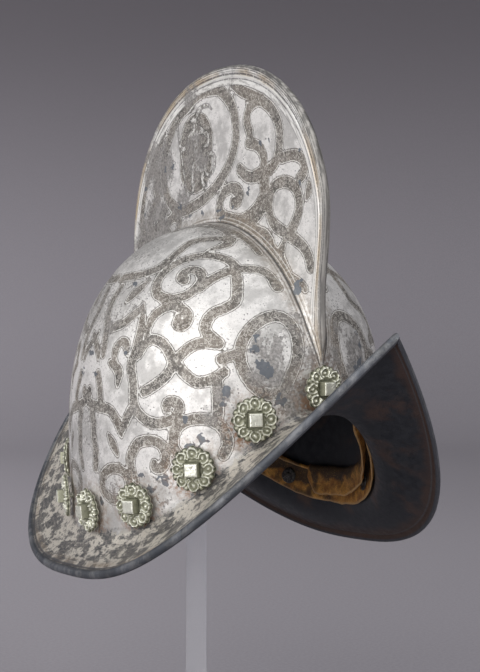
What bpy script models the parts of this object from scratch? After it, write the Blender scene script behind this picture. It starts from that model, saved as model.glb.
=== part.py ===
"""Comb morion helmet on a plain display stand.

Metres, +Z up. The front of the helmet looks along -Y and X = 0 is its plane of symmetry.
The origin is under the middle of the brim, on the underside of the stand's base.
The helmet sits on the stand with its front a little raised, so its pieces are modelled upright,
with Z = 0 at the brim's lowest level, under an empty that leans and lifts them.

The shell is one forged piece: skull, comb and brim. Its half section runs down the outside from
the comb's ridge to the brim, round the rolled edge and back up the inside. A "turn" of 0 is the
front of the helmet and pi is its back.
"""

import math

import bmesh
import bpy
from mathutils import Matrix, Vector

# Shell
WALL = 0.0014
SHELL_STATIONS = 40

# Brim: its edge in plan and its rise at the two peaks
BRIM_HALF_LENGTH = 0.1750
BRIM_HALF_WIDTH = 0.1125
FRONT_SIDE_POWER = 3.0
REAR_SIDE_POWER = 2.58
FRONT_PEAK_POWER = 0.97
REAR_PEAK_POWER = 0.87
FRONT_RISE = 0.1340
REAR_RISE = 0.1096
BRIM_RISE_POWER = 2.65
EDGE_ROLL_RADIUS = 0.0026
EDGE_ROLL_PROUD = 0.0007
FLARE_DROP = 0.0110
FLARE_LEAD = 0.12

# Throat: where the skull is narrowest, just under the line of rosettes
THROAT_HALF_LENGTH = 0.1058
THROAT_HALF_WIDTH = 0.0922
THROAT_CENTRE = 0.0005
THROAT_UNDER_LINE = 0.0125

# Crest of the skull, under the comb
CREST_HALF_LENGTH = 0.1080
CREST_HEIGHT = 0.1123
CREST_BASE = 0.0962
CREST_CENTRE = 0.0053
CREST_FOOT_DEG = 14.7
SKULL_POWER = 2.40
SKULL_FULLNESS = 0.0130
SKULL_FRONT_FULLNESS = 0.0080

# Comb
COMB_HALF_LENGTH = 0.1098
COMB_HEIGHT = 0.1129
COMB_BASE = 0.1921
COMB_CENTRE = 0.0097
COMB_POWER = 2.18
COMB_FOOT_DEG = -35.0
COMB_FOOT_BLEND_DEG = 17.0
COMB_FRONT_INSET = 0.0050
COMB_FRONT_INSET_DEG = 34.0
COMB_FOOT_HALF_WIDTH = 0.0102
COMB_FOOT_SPREAD = 1.2
COMB_RIM_DEPTH = 0.0024
COMB_SOLID_EDGE = 0.0055
COMB_HOLLOW_SHARE = 0.30
COMB_FOOT_SHARE = 0.50

# Rosettes, each on a rivet whose inner end is hammered over a round washer
ROSETTE_COUNT = 16
LINE_HEIGHT = 0.0351
LINE_RISE = 0.0691
LINE_RISE_POWER = 2.77
ROSETTE_RADIUS = 0.0134
ROSETTE_LOBES = 8
LOBE_NOTCH_SHARE = 0.86
BOSS_FOOT_HALF = 0.0043
BOSS_TOP_HALF = 0.0037
BOSS_HEIGHT = 0.0072
RIVET_RADIUS = 0.0017
RIVET_SIDES = 6
WASHER_RADIUS = 0.0056
WASHER_THICKNESS = 0.0012
WASHER_INNER_SHARE = 0.8
WASHER_SIDES = 10

# Lining band of leather
BAND_THICKNESS = 0.0015
BAND_STATIONS = 48

# Display stand and the helmet's seat on it
BRIM_LIFT = 0.150
SEAT_PITCH_DEG = 3.35
BASE_RADIUS = 0.090
BASE_THICKNESS = 0.012
BASE_BEVEL = 0.0015
POST_WIDTH = 0.0135
POST_BACK = 0.0266
STAND_TURN_DEG = -33.0
HEAD_RADIUS = 0.034
HEAD_DEPTH = 0.026

# Fits
CLEARANCE = 0.0003
FACET_ALLOWANCE = 0.0004
LEAN_ALLOWANCE = 0.0009

TINY = 1e-9
EDGE_SAMPLE = 0.1
SEAT_SAMPLES = 8
SEAT_REACH = 1.3
SMOOTH_ANGLE = math.radians(35)

# Comb section: share of the way from the skull's crest to the rim, half width, and the most of
# the foot's half width that the row may take
COMB_ROWS = (
    {"up": 0.10, "half_width": 0.0058, "of_foot": 0.86},
    {"up": 0.28, "half_width": 0.0042, "of_foot": 0.78},
    {"up": 0.62, "half_width": 0.0031, "of_foot": 0.72},
    {"up": 1.00, "half_width": 0.0028, "of_foot": 0.70},
)

# Skull and flare rows, as shares of the way along each stretch of the section
SKULL_SHARES = (0.15, 0.32, 0.50, 0.68, 0.86)
FLARE_SHARES = (0.28, 0.58, 0.80, 0.93)
ROLL_ANGLES_DEG = (-35, 15, 70, 125, 185)

# Rosette rings from its back to the dish round the boss: share of the radius and height
ROSETTE_RINGS = (
    {"radius": 1.00, "height": 0.0000},
    {"radius": 1.00, "height": 0.0014},
    {"radius": 0.68, "height": 0.0033},
)

# Lining band rows: distance along the wall, up from the line of rosettes
BAND_ROWS = (-0.0115, -0.0005, 0.0105)


def clear_scene():
    for item in list(bpy.data.objects):
        bpy.data.objects.remove(item, do_unlink=True)


def make_collection(name):
    collection = bpy.data.collections.new(name)
    bpy.context.scene.collection.children.link(collection)
    return collection


def make_material(name, colour, roughness, metallic, transmission=0.0):
    material = bpy.data.materials.new(name)
    material.use_nodes = True
    shader = material.node_tree.nodes["Principled BSDF"]
    shader.inputs["Base Color"].default_value = (*colour, 1.0)
    shader.inputs["Roughness"].default_value = roughness
    shader.inputs["Metallic"].default_value = metallic
    shader.inputs["Transmission Weight"].default_value = transmission
    return material


def signed_power(value, power):
    return math.copysign(abs(value) ** power, value)


def line_height(turn):
    """Height of the line of rosettes over the brim's lowest level."""
    return LINE_HEIGHT + LINE_RISE * abs(math.cos(turn)) ** LINE_RISE_POWER


def brim_edge(turn):
    along = math.cos(turn)
    reach = abs(along)
    rise = FRONT_RISE if along > 0 else REAR_RISE
    side_power = FRONT_SIDE_POWER if along > 0 else REAR_SIDE_POWER
    peak_power = FRONT_PEAK_POWER if along > 0 else REAR_PEAK_POWER
    width = max(1 - reach**side_power, 0.0) ** peak_power
    return Vector(
        (
            math.copysign(BRIM_HALF_WIDTH * width, math.sin(turn)),
            -BRIM_HALF_LENGTH * along,
            rise * reach**BRIM_RISE_POWER,
        )
    )


def throat(turn):
    return Vector(
        (
            THROAT_HALF_WIDTH * math.sin(turn),
            -THROAT_CENTRE - THROAT_HALF_LENGTH * math.cos(turn),
            line_height(turn) - THROAT_UNDER_LINE,
        )
    )


def crest(turn):
    """Middle of the skull's crest, from the comb's front foot to its back foot."""
    foot = math.radians(CREST_FOOT_DEG)
    angle = foot + abs(turn) * (math.pi - 2 * foot) / math.pi
    return Vector(
        (
            0.0,
            -CREST_CENTRE - CREST_HALF_LENGTH * math.cos(angle),
            CREST_BASE + CREST_HEIGHT * math.sin(angle),
        )
    )


def comb_outline(angle):
    return Vector(
        (
            0.0,
            -COMB_CENTRE - COMB_HALF_LENGTH * signed_power(math.cos(angle), 2 / COMB_POWER),
            COMB_BASE + COMB_HEIGHT * signed_power(math.sin(angle), 2 / COMB_POWER),
        )
    )


def ridge(turn):
    """The comb's edge. At both feet it bends out to meet the skull's crest, and it is upright
    over the front one."""
    foot = math.radians(COMB_FOOT_DEG)
    blend = math.radians(COMB_FOOT_BLEND_DEG)
    turn = abs(turn)
    point = comb_outline(foot + turn * (math.pi - 2 * foot) / math.pi)
    for end in (0.0, math.pi):
        near = max(1 - abs(turn - end) / blend, 0.0)
        foot_angle = foot if end == 0.0 else math.pi - foot
        point += (crest(end) - comb_outline(foot_angle)) * near**2
    inset = min(turn / math.radians(COMB_FRONT_INSET_DEG), 1.0)
    point.y += COMB_FRONT_INSET * math.sin(math.pi * inset) ** 2
    return point


def foot_half_width(turn):
    """Half width of the comb's foot, which narrows to nothing at both ends."""
    reach = THROAT_HALF_WIDTH * abs(math.sin(turn))
    return COMB_FOOT_HALF_WIDTH * reach / (reach + COMB_FOOT_SPREAD * COMB_FOOT_HALF_WIDTH)


def flare_point(turn, share):
    """From the brim's edge at 0 to the throat at 1, in one bend under the throat."""
    edge = brim_edge(turn)
    top = throat(turn)
    bend = top.lerp(edge, FLARE_LEAD)
    bend.z = top.z - FLARE_DROP
    return edge.lerp(bend, share).lerp(bend.lerp(top, share), share)


def skull_point(turn, share):
    """From the throat at 0 to the comb's foot at 1."""
    low = throat(turn)
    high = crest(turn)
    half_width = abs(low.x)
    last = math.pi / 2
    if half_width > TINY:
        last = math.acos((foot_half_width(turn) / half_width) ** (SKULL_POWER / 2))
    angle = share * last
    across = math.cos(angle) ** (2 / SKULL_POWER)
    up = math.sin(angle) ** (2 / SKULL_POWER)
    swell = SKULL_FULLNESS + SKULL_FRONT_FULLNESS * math.cos(turn)
    fullness = 1 + swell / THROAT_HALF_WIDTH * math.sin(2 * angle)
    return Vector(
        (
            low.x * across * fullness,
            low.y + (high.y - low.y) * math.sin(angle) ** 2,
            low.z + (high.z - low.z) * up,
        )
    )


def outer_point(turn, place):
    """Outer face of the brim, for places 0 to 1, and of the skull, for places 1 to 2."""
    if place < 1:
        return flare_point(turn, place)
    return skull_point(turn, place - 1)


def outer_normal(turn, place):
    step = 0.01
    side = outer_point(turn + step, place) - outer_point(turn - step, place)
    low = max(place - step, 0.0)
    high = min(place + step, 2.0)
    if place <= 1 < high:
        high = 1.0
    up = outer_point(turn, high) - outer_point(turn, low)
    normal = side.cross(up)
    return normal.normalized()


def keep_side(point, outer):
    """Keep a point on the same side of the plane of symmetry as the outer one that it is under."""
    least = COMB_HOLLOW_SHARE * abs(outer.x)
    side = -1 if outer.x < 0 else 1
    point.x = side * max(side * point.x, least)
    return point


def inset_point(turn, place, depth):
    """A point under the outer face."""
    point = outer_point(turn, place)
    return keep_side(point - outer_normal(turn, place) * depth, point)


def line_place(turn):
    """The place of the line of rosettes on the skull's outer face."""
    low, high = 1.0, 1.9
    while high - low > 1e-5:
        middle = (low + high) / 2
        if outer_point(turn, middle).z < line_height(turn):
            low = middle
        else:
            high = middle
    return low


def place_along(turn, distance):
    """The place this far along the wall from the line of rosettes, up or, if negative, down."""
    place = line_place(turn)
    step = math.copysign(0.004, distance)
    here = outer_point(turn, place)
    left = abs(distance)
    while left > 0:
        there = outer_point(turn, place + step)
        stride = (there - here).length
        if stride > left:
            return place + step * left / stride
        left -= stride
        place += step
        here = there
    return place


def comb_points(turn, wall):
    """Rows of the comb from its foot up, and its ridge: the outside at wall 0, or its hollow."""
    start = inset_point(turn, 2.0, wall)
    low = Vector((0.0, start.y, start.z))
    top = ridge(turn)
    if wall:
        rise = (top - low).length
        depth = min(COMB_SOLID_EDGE, max(wall, COMB_FOOT_SHARE * rise))
        top = top.lerp(low, depth / rise)
    rise = (top - low).length
    below_top = min(COMB_RIM_DEPTH, COMB_FOOT_SHARE * rise) / max(rise, TINY)
    foot = foot_half_width(turn)
    points = []
    for row in COMB_ROWS:
        half_width = min(row["half_width"], row["of_foot"] * foot)
        if wall:
            half_width = max(half_width - wall, COMB_HOLLOW_SHARE * half_width)
        point = low.lerp(top, row["up"] * (1 - below_top))
        point.x = half_width
        points.append(point)
    return points, top


def shell_section(turn):
    """One half section of the shell, from the ridge outside to the ridge inside."""
    outside, outer_ridge = comb_points(turn, 0.0)
    inside, inner_ridge = comb_points(turn, WALL)
    section = [outer_ridge, *reversed(outside)]
    section.append(outer_point(turn, 2.0))
    section.extend(outer_point(turn, 1 + share) for share in reversed(SKULL_SHARES))
    section.append(outer_point(turn, 1.0))
    section.extend(outer_point(turn, share) for share in reversed(FLARE_SHARES[1:]))
    section.extend(roll_points(turn))
    section.extend(inset_point(turn, share, WALL) for share in FLARE_SHARES)
    section.append(inset_point(turn, 1.0, WALL))
    section.extend(inset_point(turn, 1 + share, WALL) for share in SKULL_SHARES)
    section.append(inset_point(turn, 2.0, WALL))
    section.extend(inside)
    section.append(inner_ridge)
    return section


def roll_points(turn):
    """The brim's rolled edge, round a centre a little inside the outer face."""
    normal = outer_normal(turn, 0.0)
    edge = brim_edge(turn)
    down = (edge - outer_point(turn, EDGE_SAMPLE)).normalized()
    centre = edge - normal * (EDGE_ROLL_RADIUS - EDGE_ROLL_PROUD) - down * EDGE_ROLL_RADIUS
    points = []
    for angle in ROLL_ANGLES_DEG:
        bearing = math.radians(angle)
        spoke = normal * math.cos(bearing) + down * math.sin(bearing)
        points.append(keep_side(centre + spoke * EDGE_ROLL_RADIUS, edge))
    return points


def add_object(name, mesh, collection, material, parent=None):
    item = bpy.data.objects.new(name, mesh)
    item.parent = parent
    collection.objects.link(item)
    if material and not mesh.materials:
        mesh.materials.append(material)
    mesh.shade_smooth()
    mesh.set_sharp_from_angle(angle=SMOOTH_ANGLE)
    return item


def mesh_from(name, form):
    mesh = bpy.data.meshes.new(name)
    form.to_mesh(mesh)
    form.free()
    return mesh


def applied(item, name):
    """The object's evaluated mesh, on its own."""
    graph = bpy.context.evaluated_depsgraph_get()
    mesh = bpy.data.meshes.new_from_object(item.evaluated_get(graph))
    mesh.name = name
    return mesh


def mark_as_cutter(item):
    item.hide_render = True
    item.display_type = "WIRE"


def add_boolean(item, other, operation):
    modifier = item.modifiers.new(operation.title(), "BOOLEAN")
    modifier.operation = operation
    modifier.solver = "EXACT"
    modifier.object = other


def loft(sections, ring_closed, row_closed):
    """Quads between neighbouring sections, each a list of as many points."""
    form = bmesh.new()
    rows = [[form.verts.new(point) for point in section] for section in sections]
    count = len(rows[0])
    last_row = len(rows) if row_closed else len(rows) - 1
    last_point = count if ring_closed else count - 1
    for row in range(last_row):
        here = rows[row]
        there = rows[(row + 1) % len(rows)]
        for point in range(last_point):
            after = (point + 1) % count
            form.faces.new((here[point], here[after], there[after], there[point]))
    bmesh.ops.remove_doubles(form, verts=form.verts, dist=1e-6)
    return form


def rosette_turns():
    """Turns of the rosettes, evenly spaced along their line and starting at the front."""
    steps = 720
    walked = [0.0]
    points = []
    for step in range(steps + 1):
        turn = 2 * math.pi * step / steps
        points.append(
            Vector(
                (
                    THROAT_HALF_WIDTH * math.sin(turn),
                    THROAT_HALF_LENGTH * math.cos(turn),
                    line_height(turn),
                )
            )
        )
    for before, after in zip(points, points[1:]):
        walked.append(walked[-1] + (after - before).length)
    turns = []
    for number in range(ROSETTE_COUNT):
        goal = walked[-1] * number / ROSETTE_COUNT
        step = max(index for index in range(steps) if walked[index] <= goal + TINY)
        share = (goal - walked[step]) / (walked[step + 1] - walked[step])
        turn = 2 * math.pi * (step + share) / steps
        turns.append(turn if turn <= math.pi else turn - 2 * math.pi)
    return turns


def wall_frame(turn, reach):
    """Matrix on the outer face at the line of rosettes: Z out of the wall, X along the line.

    It leans with the wall from this far below the line to as far above it.
    """
    step = ROSETTE_RADIUS / THROAT_HALF_LENGTH
    ahead = outer_point(turn + step, line_place(turn + step))
    behind = outer_point(turn - step, line_place(turn - step))
    above = outer_point(turn, place_along(turn, reach))
    below = outer_point(turn, place_along(turn, -reach))
    along = (ahead - behind).normalized()
    out = along.cross(above - below).normalized()
    frame = Matrix((along, out.cross(along), out)).transposed().to_4x4()
    frame.translation = outer_point(turn, line_place(turn))
    return frame


def level_frame(turn, reach):
    """The wall's frame turned about its Z until its X is level, as the bosses stand."""
    frame = wall_frame(turn, reach)
    out = frame.to_3x3() @ Vector((0, 0, 1))
    level = Vector((0, 0, 1)).cross(out).normalized()
    matrix = Matrix((level, out.cross(level), out)).transposed().to_4x4()
    matrix.translation = frame.translation
    return matrix


def footprint(turn, radius, depth):
    """Points of the wall under a round piece, this deep in it, in the piece's own frame."""
    inverse = wall_frame(turn, radius).inverted()
    steps = range(-SEAT_SAMPLES, SEAT_SAMPLES + 1)
    points = []
    for down in steps:
        place = place_along(turn, SEAT_REACH * radius * down / SEAT_SAMPLES)
        for side in steps:
            bearing = turn + SEAT_REACH * radius / THROAT_HALF_WIDTH * side / SEAT_SAMPLES
            point = inverse @ inset_point(bearing, place, depth)
            if math.hypot(point.x, point.y) < radius:
                points.append(point)
    return points


def seat_height():
    """How far the flat back of a rosette stands off the wall so that it clears it all round."""
    most = max(
        point.z for turn in rosette_turns() for point in footprint(turn, ROSETTE_RADIUS, 0.0)
    )
    return most + LEAN_ALLOWANCE + CLEARANCE


def add_seat(collection):
    """The empty that carries the helmet, with its two peaks as far from Y = 0."""
    pitch = Matrix.Rotation(-math.radians(SEAT_PITCH_DEG), 4, "X")
    middle = (pitch @ brim_edge(0.0) + pitch @ brim_edge(math.pi)) / 2
    seat = bpy.data.objects.new("helmet_seat", None)
    seat.matrix_world = Matrix.Translation((0, -middle.y, BRIM_LIFT)) @ pitch
    collection.objects.link(seat)
    return seat


def build_shell(collection, cutters, material, hole_mesh, seat):
    turns = [math.pi * step / SHELL_STATIONS for step in range(SHELL_STATIONS + 1)]
    sections = [shell_section(turn) for turn in turns]
    for section in (sections[0], sections[-1]):
        for point in section:
            point.x = 0.0
    for section in sections:
        section[0].x = 0.0
        section[-1].x = 0.0
    mesh = mesh_from("helmet_shell", loft(sections, ring_closed=False, row_closed=False))
    shell = add_object("helmet_shell", mesh, collection, material, seat)
    mirror = shell.modifiers.new("Mirror", "MIRROR")
    mirror.merge_threshold = 1e-5
    holes = add_object("shell_rivet_holes", hole_mesh, cutters, None, seat)
    mark_as_cutter(holes)
    add_boolean(shell, holes, "DIFFERENCE")
    return shell


def rivet_hole_mesh():
    """One cutter for all the rivet holes, through the wall and the lining band."""
    form = bmesh.new()
    length = 4 * (WALL + BAND_THICKNESS)
    for turn in rosette_turns():
        bmesh.ops.create_cone(
            form,
            cap_ends=True,
            segments=RIVET_SIDES,
            radius1=RIVET_RADIUS + CLEARANCE,
            radius2=RIVET_RADIUS + CLEARANCE,
            depth=length,
            matrix=level_frame(turn, ROSETTE_RADIUS),
        )
    return mesh_from("rivet_holes", form)


def build_band(collection, cutters, material, hole_mesh, seat):
    """The lining band, a closed ring of leather against the inner face."""
    inner = WALL + CLEARANCE + FACET_ALLOWANCE
    sections = []
    for step in range(BAND_STATIONS):
        turn = -math.pi + 2 * math.pi * (step + 0.5) / BAND_STATIONS
        places = [place_along(turn, distance) for distance in BAND_ROWS]
        outside = [inset_point(turn, place, inner) for place in places]
        inside = [inset_point(turn, place, inner + BAND_THICKNESS) for place in reversed(places)]
        sections.append(outside + inside)
    mesh = mesh_from("lining_band", loft(sections, ring_closed=True, row_closed=True))
    band = add_object("lining_band", mesh, collection, material, seat)
    holes = add_object("band_rivet_holes", hole_mesh, cutters, None, seat)
    mark_as_cutter(holes)
    add_boolean(band, holes, "DIFFERENCE")
    return band


def rosette_mesh(cutters, seat):
    """Scalloped cast plate, square boss and rivet shank in one solid. Z = 0 is the wall."""
    points = 2 * ROSETTE_LOBES
    rings = []
    for ring in ROSETTE_RINGS:
        notch = LOBE_NOTCH_SHARE if ring["radius"] > 0.6 else 1.0
        row = []
        for point in range(points):
            angle = 2 * math.pi * point / points
            radius = ROSETTE_RADIUS * ring["radius"] * (notch if point % 2 else 1.0)
            row.append(
                Vector((radius * math.cos(angle), radius * math.sin(angle), seat + ring["height"]))
            )
        rings.append(row)
    form = loft(rings, ring_closed=True, row_closed=False)
    bmesh.ops.holes_fill(form, edges=form.edges, sides=points)
    bmesh.ops.recalc_face_normals(form, faces=form.faces)
    plate = add_object("rosette_plate", mesh_from("rosette_plate", form), cutters, None)
    mark_as_cutter(plate)

    form = bmesh.new()
    foot = ROSETTE_RINGS[0]["height"] + 0.5 * ROSETTE_RINGS[1]["height"]
    bmesh.ops.create_cone(
        form,
        cap_ends=True,
        segments=4,
        radius1=BOSS_FOOT_HALF * math.sqrt(2),
        radius2=BOSS_TOP_HALF * math.sqrt(2),
        depth=BOSS_HEIGHT - foot,
        matrix=Matrix.Translation((0, 0, seat + (BOSS_HEIGHT + foot) / 2))
        @ Matrix.Rotation(math.pi / 4, 4, "Z"),
    )
    boss = add_object("rosette_boss", mesh_from("rosette_boss", form), cutters, None)
    mark_as_cutter(boss)

    form = bmesh.new()
    top = seat + 0.5 * ROSETTE_RINGS[1]["height"]
    bottom = -band_inner_depth()
    bmesh.ops.create_cone(
        form,
        cap_ends=True,
        segments=RIVET_SIDES,
        radius1=RIVET_RADIUS,
        radius2=RIVET_RADIUS,
        depth=top - bottom,
        matrix=Matrix.Translation((0, 0, (top + bottom) / 2)),
    )
    shank = add_object("rosette_shank", mesh_from("rosette_shank", form), cutters, None)
    mark_as_cutter(shank)

    add_boolean(plate, boss, "UNION")
    add_boolean(plate, shank, "UNION")
    return applied(plate, "rosette")


def band_inner_depth():
    """Depth of the lining band's inner face under the shell's outer face."""
    return WALL + CLEARANCE + FACET_ALLOWANCE + BAND_THICKNESS


def build_rosettes(collection, cutters, material, seat):
    mesh = rosette_mesh(cutters, seat_height())
    mesh.materials.append(material)
    for number, turn in enumerate(rosette_turns(), 1):
        rosette = add_object(f"rosette_{number:02d}", mesh, collection, material, seat)
        rosette.matrix_local = level_frame(turn, ROSETTE_RADIUS)


def build_washers(collection, material, seat):
    """Round plates, each as close to the band's hollow inner face as a flat one can lie."""
    form = bmesh.new()
    bmesh.ops.create_cone(
        form,
        cap_ends=True,
        segments=WASHER_SIDES,
        radius1=WASHER_INNER_SHARE * WASHER_RADIUS,
        radius2=WASHER_RADIUS,
        depth=WASHER_THICKNESS,
        matrix=Matrix.Translation((0, 0, -WASHER_THICKNESS / 2)),
    )
    mesh = mesh_from("rivet_washer", form)
    for number, turn in enumerate(rosette_turns(), 1):
        band_face = footprint(turn, WASHER_RADIUS, band_inner_depth())
        top = min(point.z for point in band_face) - CLEARANCE - FACET_ALLOWANCE / 2
        washer = add_object(f"rivet_washer_{number:02d}", mesh, collection, material, seat)
        frame = wall_frame(turn, WASHER_RADIUS)
        washer.matrix_local = frame @ Matrix.Translation((0, 0, top))


def build_stand_head(collection, cutters, material, seat):
    """The stand's head: a round pad whose top follows the inside of the skull's crest."""
    under = WALL + CLEARANCE + FACET_ALLOWANCE
    top = BRIM_LIFT + CREST_BASE + CREST_HEIGHT
    form = bmesh.new()
    bmesh.ops.create_uvsphere(
        form,
        u_segments=32,
        v_segments=32,
        radius=1.0,
        matrix=Matrix.Translation((0, -CREST_CENTRE, CREST_BASE))
        @ Matrix.Diagonal(
            (
                THROAT_HALF_WIDTH - under,
                CREST_HALF_LENGTH - under,
                CREST_HEIGHT - under,
                1.0,
            )
        ),
    )
    dome = add_object("head_dome", mesh_from("head_dome", form), cutters, None, seat)
    mark_as_cutter(dome)
    form = bmesh.new()
    bmesh.ops.create_cone(
        form,
        cap_ends=True,
        segments=24,
        radius1=HEAD_RADIUS,
        radius2=HEAD_RADIUS,
        depth=2 * HEAD_DEPTH,
        matrix=Matrix.Translation((0, POST_BACK, top)),
    )
    head = add_object("stand_head", mesh_from("stand_head", form), collection, material)
    add_boolean(head, dome, "INTERSECT")
    return top - HEAD_DEPTH


def build_stand(collection, cutters, clear, padding, seat):
    head_foot = build_stand_head(collection, cutters, padding, seat)
    form = bmesh.new()
    bmesh.ops.create_cone(
        form,
        cap_ends=True,
        segments=48,
        radius1=BASE_RADIUS,
        radius2=BASE_RADIUS,
        depth=BASE_THICKNESS,
        matrix=Matrix.Translation((0, POST_BACK, BASE_THICKNESS / 2)),
    )
    base = add_object("stand_base", mesh_from("stand_base", form), collection, clear)
    bevel = base.modifiers.new("Bevel", "BEVEL")
    bevel.width = BASE_BEVEL
    bevel.segments = 1

    low = BASE_THICKNESS + CLEARANCE
    high = head_foot - CLEARANCE
    form = bmesh.new()
    bmesh.ops.create_cube(
        form,
        size=1.0,
        matrix=Matrix.Diagonal((POST_WIDTH, POST_WIDTH, high - low, 1.0)),
    )
    post = add_object("stand_post", mesh_from("stand_post", form), collection, clear)
    post.location = (0, POST_BACK, (low + high) / 2)
    post.rotation_euler.z = math.radians(STAND_TURN_DEG)


def main():
    clear_scene()
    helmet = make_collection("morion_helmet_on_stand")
    cutters = make_collection("cutters")
    steel = make_material("etched_steel", (0.52, 0.51, 0.49), 0.42, 0.85)
    cast = make_material("cast_rosette", (0.40, 0.41, 0.33), 0.38, 0.90)
    iron = make_material("dark_iron", (0.05, 0.05, 0.05), 0.60, 0.70)
    leather = make_material("lining_leather", (0.33, 0.17, 0.05), 0.70, 0.0)
    clear = make_material("clear_acrylic", (0.90, 0.90, 0.92), 0.06, 0.0, transmission=0.9)
    padding = make_material("stand_padding", (0.06, 0.06, 0.07), 0.90, 0.0)
    holes = rivet_hole_mesh()
    seat = add_seat(helmet)
    build_shell(helmet, cutters, steel, holes, seat)
    build_band(helmet, cutters, leather, holes, seat)
    build_rosettes(helmet, cutters, cast, seat)
    build_washers(helmet, iron, seat)
    build_stand(helmet, cutters, clear, padding, seat)


main()
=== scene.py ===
"""Looks of a comb morion helmet on its display stand.

Metres, +Z up, in the same frame as the solids. The front of the helmet looks along -Y.
The helmet's pieces are made upright, with Z = 0 at the brim's lowest level, and then leaned and
lifted onto the stand. A "turn" of 0 is the front and pi is the back. A "place" on the wall runs
from the brim's edge at 0 over the throat at 1 to the comb's foot at 2.
"""

import math

import bmesh
import bpy
import numpy as np
from mathutils import Matrix, Vector


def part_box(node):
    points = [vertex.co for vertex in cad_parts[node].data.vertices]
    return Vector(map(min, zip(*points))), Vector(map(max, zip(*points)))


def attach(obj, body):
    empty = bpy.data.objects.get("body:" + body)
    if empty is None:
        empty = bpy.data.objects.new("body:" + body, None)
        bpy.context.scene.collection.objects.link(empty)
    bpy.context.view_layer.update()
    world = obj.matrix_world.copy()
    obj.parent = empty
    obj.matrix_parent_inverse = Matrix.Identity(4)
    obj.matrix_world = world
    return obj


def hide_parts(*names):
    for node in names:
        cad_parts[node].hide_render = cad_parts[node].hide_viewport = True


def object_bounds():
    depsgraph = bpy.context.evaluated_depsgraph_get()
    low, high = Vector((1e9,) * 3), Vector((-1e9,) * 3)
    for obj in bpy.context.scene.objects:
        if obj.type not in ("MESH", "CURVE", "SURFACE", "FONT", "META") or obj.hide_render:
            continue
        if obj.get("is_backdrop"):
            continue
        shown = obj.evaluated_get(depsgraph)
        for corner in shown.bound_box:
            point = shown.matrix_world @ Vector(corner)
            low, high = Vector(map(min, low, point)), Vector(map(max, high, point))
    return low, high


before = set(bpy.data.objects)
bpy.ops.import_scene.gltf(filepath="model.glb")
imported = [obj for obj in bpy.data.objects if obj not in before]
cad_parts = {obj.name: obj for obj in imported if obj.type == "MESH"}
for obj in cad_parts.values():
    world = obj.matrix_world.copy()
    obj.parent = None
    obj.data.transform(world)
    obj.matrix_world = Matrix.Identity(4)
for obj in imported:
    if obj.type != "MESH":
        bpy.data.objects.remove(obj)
CAD_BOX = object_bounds()

# Shell, as in the solids
WALL = 0.0014
BRIM_HALF_LENGTH = 0.1750
BRIM_HALF_WIDTH = 0.1125
FRONT_SIDE_POWER = 3.0
REAR_SIDE_POWER = 2.58
FRONT_PEAK_POWER = 0.97
REAR_PEAK_POWER = 0.87
FRONT_RISE = 0.1340
REAR_RISE = 0.1096
BRIM_RISE_POWER = 2.65
EDGE_ROLL_RADIUS = 0.0026
EDGE_ROLL_PROUD = 0.0007
FLARE_DROP = 0.0110
FLARE_LEAD = 0.12
THROAT_HALF_LENGTH = 0.1058
THROAT_HALF_WIDTH = 0.0922
THROAT_CENTRE = 0.0005
THROAT_UNDER_LINE = 0.0125
CREST_HALF_LENGTH = 0.1080
CREST_HEIGHT = 0.1123
CREST_BASE = 0.0962
CREST_CENTRE = 0.0053
CREST_FOOT_DEG = 14.7
SKULL_POWER = 2.40
SKULL_FULLNESS = 0.0130
SKULL_FRONT_FULLNESS = 0.0080
COMB_HALF_LENGTH = 0.1098
COMB_HEIGHT = 0.1129
COMB_BASE = 0.1921
COMB_CENTRE = 0.0097
COMB_POWER = 2.18
COMB_FOOT_DEG = -35.0
COMB_FOOT_BLEND_DEG = 17.0
COMB_FRONT_INSET = 0.0050
COMB_FRONT_INSET_DEG = 34.0
COMB_FOOT_HALF_WIDTH = 0.0102
COMB_FOOT_SPREAD = 1.2
COMB_RIM_DEPTH = 0.0024
COMB_SOLID_EDGE = 0.0055
LINE_HEIGHT = 0.0351
LINE_RISE = 0.0691
LINE_RISE_POWER = 2.77
SEAT_PITCH_DEG = 3.35
BRIM_LIFT = 0.150

# Rosettes, band and stand, as in the solids
ROSETTE_COUNT = 16
ROSETTE_RADIUS = 0.0134
ROSETTE_SEAT = 0.00267
BOSS_FOOT_HALF = 0.0043
BOSS_TOP_HALF = 0.0037
BOSS_HEIGHT = 0.0072
WASHER_RADIUS = 0.0056
WASHER_THICKNESS = 0.0012
BAND_THICKNESS = 0.0015
POST_BACK = 0.0266
POST_WIDTH = 0.0135
STAND_TURN_DEG = -33.0
BASE_RADIUS = 0.090
BASE_THICKNESS = 0.012
HEAD_RADIUS = 0.034

# Stand's mesh. The base's outline is a height and a share of its radius.
POST_BEVEL = 0.0007
POST_ROWS = 24
BASE_COLUMNS = 128
BASE_PROFILE = (
    (0.0, 0.90), (0.0, 0.975), (0.0005, 0.991), (0.0018, 1.0), (0.0098, 1.0),
    (0.0110, 0.996), (0.0117, 0.988), (0.0120, 0.975), (0.0120, 0.5), (0.0120, 0.2),
)
HEAD_COLUMNS = 96
HEAD_SIDE_ROWS = 18
HEAD_TOP_ROWS = 14
HEAD_UNDER_WALL = 0.0010
HEAD_SIDE_GAP = 0.0015
HEAD_TOP_GAP = 0.0004
HEAD_ROUNDING = 0.0011
HEAD_CROWNING = 0.045
HEAD_SEAM = 0.03
HEAD_SEAM_WIDTH = 0.06

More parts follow.
